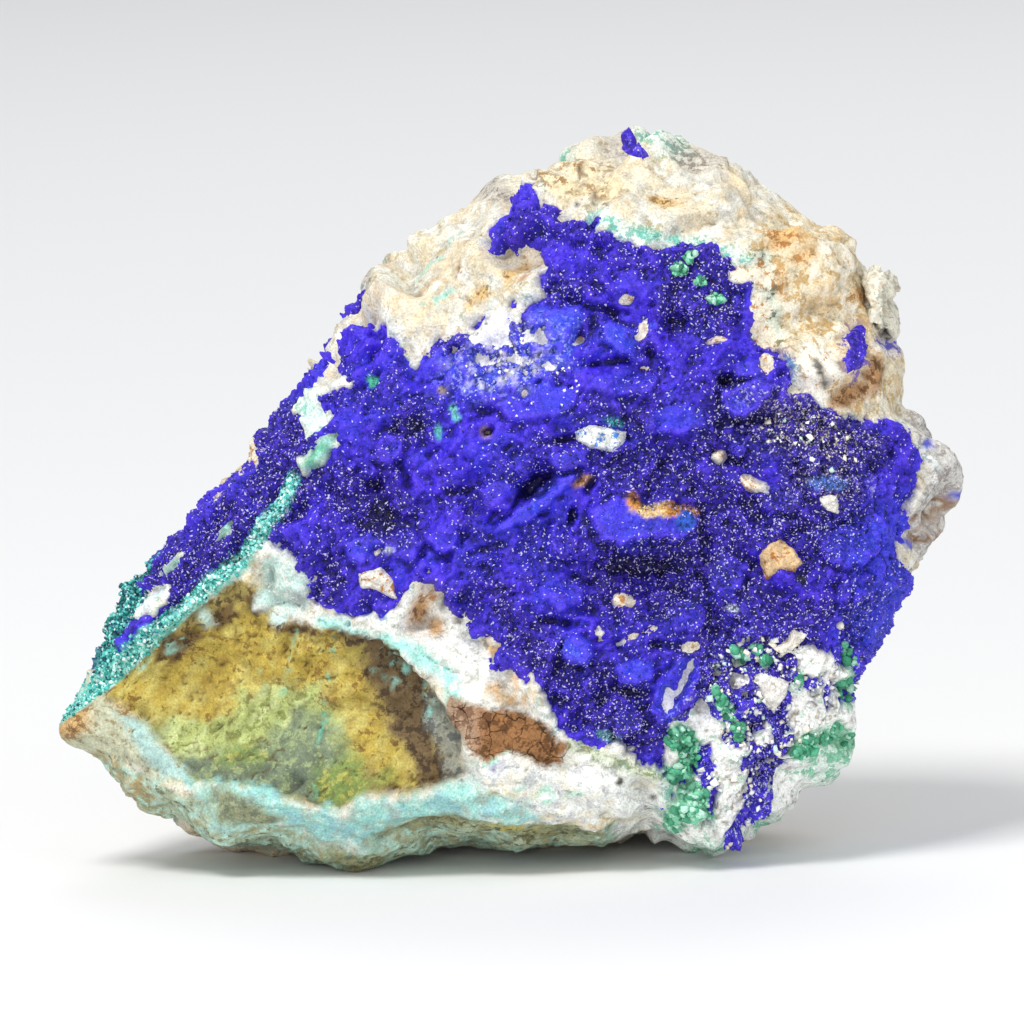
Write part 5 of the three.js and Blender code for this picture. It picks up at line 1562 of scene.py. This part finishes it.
def on_faces(co, tri, weight, count, rng):
    """Random places on a surface, more where weight is larger: points, normals and the faces they are on."""
    a, b, c = (co[tri[:, n]] for n in range(3))
    face = np.cross(b - a, c - a)
    area = np.linalg.norm(face, axis=1)
    chance = area * weight
    pick = rng.choice(len(tri), count, p=chance / chance.sum())
    s, t = rng.random((2, count, 1))
    over = (s + t) > 1
    s, t = np.where(over, 1 - s, s), np.where(over, 1 - t, t)
    return a[pick] * (1 - s - t) + b[pick] * s + c[pick] * t, face[pick] / area[pick, None], pick


def turned(count, up, lean, rng):
    """Random turns that carry +Z to directions near up, as matrices."""
    z = up + lean * rng.normal(size=(count, 3))
    z /= np.linalg.norm(z, axis=1, keepdims=True)
    x = np.cross(z, rng.normal(size=(count, 3)))
    x /= np.linalg.norm(x, axis=1, keepdims=True)
    return np.stack([x, np.cross(z, x), z], 2)


def copies(shape_co, shape_tri, places, turns, scales):
    """A shape at every place, as one mesh."""
    co = np.einsum("nij,nvj->nvi", turns, shape_co[None] * scales[:, None, :]) + places[:, None, :]
    tri = shape_tri[None] + (np.arange(len(places)) * len(shape_co))[:, None, None]
    return co.reshape(-1, 3).astype(np.float32), tri.reshape(-1, 3).astype(np.int32)


# A flattened crystal and a broken bit of rock: four corners round the middle, a tip above and one below.
CRYSTAL = [(1, 0, 0), (0.2, 0.6, 0), (-1, 0, 0), (-0.2, -0.6, 0), (0.25, 0, 1), (0, 0, -0.6)]
BIT = [(1, 0.6, 0.5), (-0.8, 0.9, 0.4), (-0.9, -0.6, 0.5), (0.6, -1, 0.3), (0.1, 0.1, 1), (0.2, -0.1, -0.8)]
CRYSTAL, BIT = np.array(CRYSTAL, np.float32), np.array(BIT, np.float32)
EIGHT_SIDES = [(0, 1, 4), (1, 2, 4), (2, 3, 4), (3, 0, 4), (1, 0, 5), (2, 1, 5), (3, 2, 5), (0, 3, 5)]
EIGHT_SIDES = np.array(EIGHT_SIDES)

CRYSTALS = 17000
face_weight = smooth_step(0.0, 0.4, crust[used][crust_f].mean(1))
face_weight = face_weight * (0.2 + 0.8 * facing[used][crust_f].mean(1))
face_weight *= 0.08 + 0.92 * crust_grit[crust_f].mean(1) ** 2
for batch, (small, large) in enumerate(((0.06, 0.12), (0.08, 0.18))):
    at, up, pick = on_faces(crust_v, crust_f, face_weight, CRYSTALS, rng)
    size = rng.uniform(small, large, (len(at), 1)) * rng.uniform(0.7, 1.3, (len(at), 3)) * (1.6, 0.8, 1)
    co, tri = copies(CRYSTAL, EIGHT_SIDES, at, turned(len(at), up, 0.6, rng), size)
    tint = crust_paint[crust_f[pick, 0]] * rng.uniform(0.5, 1.5, (len(at), 1))
    kind = rng.random(len(at))
    # Painted highlight: one crystal in five is lilac-white, as a glint.
    tint[kind > 0.8] = lin((200, 194, 240))
    tint[kind < 0.3] *= 0.2
    piece(
        f"azurite_druse_{batch}", above_floor(co), tri, crystal_material, None, "azurite",
        paint=np.repeat(tint, len(CRYSTAL), 0),
    )

# ---- Seams and clusters ----

in_front = np.flatnonzero((surface_normal[:, 1] < 0.1) & (surface[:, 1] < 3))
front_xz = KDTree(len(in_front))
for n in in_front:
    front_xz.insert((surface[n, 0], 0, surface[n, 2]), n)
front_xz.balance()


def on_stone(x, z):
    """The point of the finished front at x, z, its normal, and whether there is stone there at all."""
    _, n, gap = front_xz.find((x, 0, z))
    at = crust_co[n] if crust[n] > 0 else rock_co[n]
    return at + (x - surface[n, 0], 0, z - surface[n, 2]), surface_normal[n], gap < 0.3


def ball(levels):
    """A unit ball as arrays."""
    mesh = bpy.data.meshes.new("ball")
    bm = bmesh.new()
    bmesh.ops.create_icosphere(bm, subdivisions=levels, radius=1)
    bm.to_mesh(mesh)
    bm.free()
    out = mesh_arrays(mesh)
    bpy.data.meshes.remove(mesh)
    return out


GRAIN, GRAIN_TRI = ball(1)
BEAD, BEAD_TRI = ball(2)
BEAD = BEAD * (1 + 0.9 * chips(BEAD, 0.9, 15)[0][:, None])  # knobbly


def beads(name, node, slot, shape, places, radii, palette, weights):
    """Beads at x, z on the stone's front, as one piece."""
    found = [on_stone(x, z) for x, z in places]
    hit = np.array([near for _, _, near in found])
    found = [place for place in found if place[2]]
    radii = radii[hit]
    count = len(found)
    at = np.array([point for point, _, _ in found], np.float32)
    up = np.array([normal for _, normal, _ in found], np.float32)
    at += up * radii[:, None] * rng.uniform(-0.3, 0.6, (count, 1))
    shape_co, shape_tri = shape
    size = radii[:, None] * rng.uniform(0.6, 1.3, (count, 3))
    co, tri = copies(shape_co, shape_tri, at, turned(count, up, 0.4, rng), size)
    tint = lin(np.array(palette))[rng.choice(len(palette), count, p=weights)]
    tint = tint * rng.uniform(0.75, 1.2, (count, 1))
    paint = np.repeat(tint, len(shape_co), 0).astype(np.float32)
    piece(name, above_floor(co), tri, malachite_material, node, slot, paint=paint)


def scattered(x, z, half_w, half_h, turn, count):
    """Random places all over a spot."""
    r, a = np.sqrt(rng.random(count)), rng.uniform(0, 2 * math.pi, count)
    u, v = half_w * r * np.cos(a), half_h * r * np.sin(a)
    c, s = math.cos(math.radians(turn)), math.sin(math.radians(turn))
    return list(zip(x + c * u - s * v, z + s * u + c * v))


TEALS = [(84, 186, 176), (150, 224, 214), (40, 134, 128), (220, 244, 240), (22, 84, 96)]
GREENS = [(80, 166, 128), (54, 136, 102), (122, 196, 160), (180, 226, 204)]

points = np.array(SEAM, np.float32)
along = np.concatenate([[0], np.cumsum(np.hypot(*np.diff(points, axis=0).T))])
count = int(along[-1] * 85)  # grains a millimetre
s = rng.uniform(0, along[-1], count)
half_width = np.interp(s, [0, 3, 10, 30, along[-1]], [0.35, 0.6, 0.55, 0.8, 0.6])
away = half_width * rng.normal(size=(2, count)) * 0.6
x = np.interp(s, along, points[:, 0]) + away[0]
z = np.interp(s, along, points[:, 1]) + away[1]
beads(
    "malachite_seam_v", "malachite_seam", "malachite_seam", (GRAIN, GRAIN_TRI), list(zip(x, z)),
    rng.uniform(0.09, 0.25, count), TEALS, (0.3, 0.34, 0.12, 0.2, 0.04),
)

band_x, band_z = rng.uniform(-43.4, -35, 9000), rng.uniform(19.4, 32.6, 9000)
inside = outline_distance(np.stack([band_x, band_x, band_z], 1), EDGE_BAND) < 0.2 * rng.normal(size=9000)
places = list(zip(band_x[inside], band_z[inside]))
beads(
    "malachite_edge_v", "malachite_edge", "malachite_seam", (GRAIN, GRAIN_TRI), places,
    rng.uniform(0.09, 0.24, len(places)), TEALS, (0.3, 0.14, 0.24, 0.06, 0.26),
)

# White, cream and pale green bits lying on the azurite, where it thins out: a spot, and how many.
SPRINKLES = [
    (26, 18, 7, 6, 0, 300), (22.4, 9, 4, 6, 0, 90), (30, 43.4, 5.4, 3, -15, 80), (0, 49.6, 7, 4, -15, 50),
]
places, radii = [], []
for x, z, half_w, half_h, turn, count in SPRINKLES:
    places += scattered(x, z, half_w, half_h, turn, count)
    radii.append((0.1 if z > 40 else 0.17) * np.exp(rng.normal(0.25, 0.5, count)))
beads(
    "chalk_grains", None, "rock_chip", (BIT, EIGHT_SIDES), places, np.minimum(np.concatenate(radii), 0.4),
    [(250, 250, 247), (238, 230, 212), (196, 226, 214)], (0.6, 0.3, 0.1),
)

for name, blobs in MALACHITE.items():
    places, radii, pale = [], [], []
    for x, z, half_w, half_h, paleness in blobs:
        count = int(90 * half_w * half_h) + 8
        places += scattered(x, z, half_w, half_h, 0, count)
        radii.append(np.clip(rng.lognormal(-1.55, 0.45, count), 0.1, 0.5))
        pale.append(np.full(count, paleness))
    share = float(np.mean(np.concatenate(pale)))
    beads(
        name + "_v", None if name == "malachite_crown_beads" else name, "malachite", (BEAD, BEAD_TRI), places,
        np.concatenate(radii), GREENS, (0.5 * (1 - share), 0.3 * (1 - share), 0.2 + 0.2 * share, 0.6 * share),
    )

# ---- Chips, patches and the knob ----

top_co = np.where((crust > 0)[:, None], crust_co, rock_co)


def raised_patch(outline, thickness, roughness, seed):
    """A closed piece that stands on the stone's front, with the outline given."""
    near = (outline_distance(surface, outline) < 0.7) & (surface[:, 1] < 4) & (surface_normal[:, 1] < 0.2)
    tri, used = kept(surface_tri, near[surface_tri].all(1))
    finer = ("SUBSURF", {"levels": 1, "subdivision_type": "SIMPLE"})
    co, tri = worked(top_co[used], tri, ("SMOOTH", {"factor": 0.5, "iterations": 6}), finer)
    d = outline_distance(co, outline) + 0.12 * cloud(co, 0.8, 3, seed)
    up = normals(co, tri)
    bumps = roughness * (1.2 * chips(co, 1.6, seed)[0] + 0.25 * cloud(co, 0.5, 3, seed))
    height = (thickness + bumps) * smooth_step(0.1, -0.28, d) - 0.5 * smooth_step(-0.05, 0.2, d)
    mean = up.mean(0)
    front = co + height[:, None] * mean
    return shell(front, front - 1.1 * mean, tri)


for seed, (name, (outline, thickness, rgb, stain)) in enumerate(CHIPS.items()):
    co, tri, _ = raised_patch(outline, thickness, 0.45, 310 + seed)
    paint = Paint(co, rgb, stain, 0.36, 320 + 10 * seed)
    paint.lay(tuple(0.9 * v for v in rgb), 0.7, 1, 0.4)
    piece(name + "_v", co, tri, chip_material, name, "rock_chip", **paint.attributes())

for name, outline in AZURITE_PATCHES.items():
    co, tri, _ = raised_patch(outline, 0.5, 0.7, 340)
    paint = Paint(co, (66, 42, 204), (110, 90, 226), 0.3, 340)
    paint.lay((30, 18, 130), 0.7, 0.7, 0.3)
    grit = np.full(len(co), 0.5)
    piece(name + "_v", co, tri, azurite_material, name, "azurite", grit=grit, **paint.attributes())

co, tri = node_arrays("quartz_knob")
middle = (co.min(0) + co.max(0)) / 2
co = middle + (co - middle) * (1.12, 1.1, 1.12) + (-0.9, 0, -0.2)
co, tri = worked(
    co, tri, ("REMESH", {"mode": "VOXEL", "voxel_size": 0.16}), ("SMOOTH", {"factor": 0.5, "iterations": 4})
)
bumps = 2.2 * chips(co, 2.6, 301)[0] + 0.4 * chips(co, 0.9, 302)[0] + 0.15 * cloud(co, 0.8, 3, 303)
co = co + normals(co, tri) * bumps[:, None]
paint = Paint(co, (226, 222, 204), (176, 176, 158), 0.35, 304)
paint.lay((240, 234, 216), 0.8, 1.2, 0.35)
paint.lay((170, 140, 96), 0.5, 0.8, 0.12)
co = co.astype(np.float32)
piece("quartz_knob_v", co, tri, quartz_material, "quartz_knob", "quartz", **paint.attributes())

# ---- Floor, light and camera ----

scene = bpy.context.scene
scene.view_settings.view_transform = "Standard"

reach = 6.0
floor = bpy.data.objects.new("floor", bpy.data.meshes.new("floor"))
corners = [(-reach, -reach, 0), (reach, -reach, 0), (reach, reach, 0), (-reach, reach, 0)]
floor.data.from_pydata(corners, [], [(0, 1, 2, 3)])
floor_material = bpy.data.materials.new("floor_paper")
floor_material.use_nodes = True
floor_shader = floor_material.node_tree.nodes["Principled BSDF"]
floor_shader.inputs["Base Color"].default_value = (0.82, 0.82, 0.82, 1)
floor_shader.inputs["Roughness"].default_value = 0.9
floor.data.materials.append(floor_material)
bpy.context.collection.objects.link(floor)

world = bpy.data.worlds.new("studio")
world.use_nodes = True
world.node_tree.nodes["Background"].inputs["Color"].default_value = (0.94, 0.96, 1, 1)
world.node_tree.nodes["Background"].inputs["Strength"].default_value = 0.5
scene.world = world


def area_light(name, place, size, power, color=(1, 1, 1)):
    light = bpy.data.lights.new(name, "AREA")
    light.size = size
    light.energy = power
    light.color = color
    o = bpy.data.objects.new(name, light)
    o.location = place
    o.rotation_euler = (Vector((0, 0, 0.035)) - Vector(place)).to_track_quat("-Z", "Y").to_euler()
    bpy.context.collection.objects.link(o)


area_light("key", (-0.3, -0.42, 0.85), 0.3, 6.6, (1, 0.99, 0.97))
area_light("fill", (0.7, -0.6, 0.35), 0.6, 1.8, (0.96, 0.98, 1))
area_light("front", (-0.15, -0.9, 0.1), 0.5, 3.2)
area_light("back", (0.1, 0.7, 0.7), 0.6, 2.2)

camera = bpy.data.objects.new("camera", bpy.data.cameras.new("camera"))
bpy.context.collection.objects.link(camera)
camera.data.sensor_width = 36
camera.data.lens = 36 * CAMERA_DISTANCE / FRAME_WIDTH
camera.data.clip_end = 20
axes = Matrix(TURN.tolist())
stand = to_row(np.array(FACE_CENTRE) - (0, CAMERA_DISTANCE, 0))
turn = Matrix((axes.col[0], axes.col[2], -axes.col[1])).transposed().to_4x4()
camera.matrix_world = Matrix.Translation(stand.tolist()) @ turn
scene.camera = camera
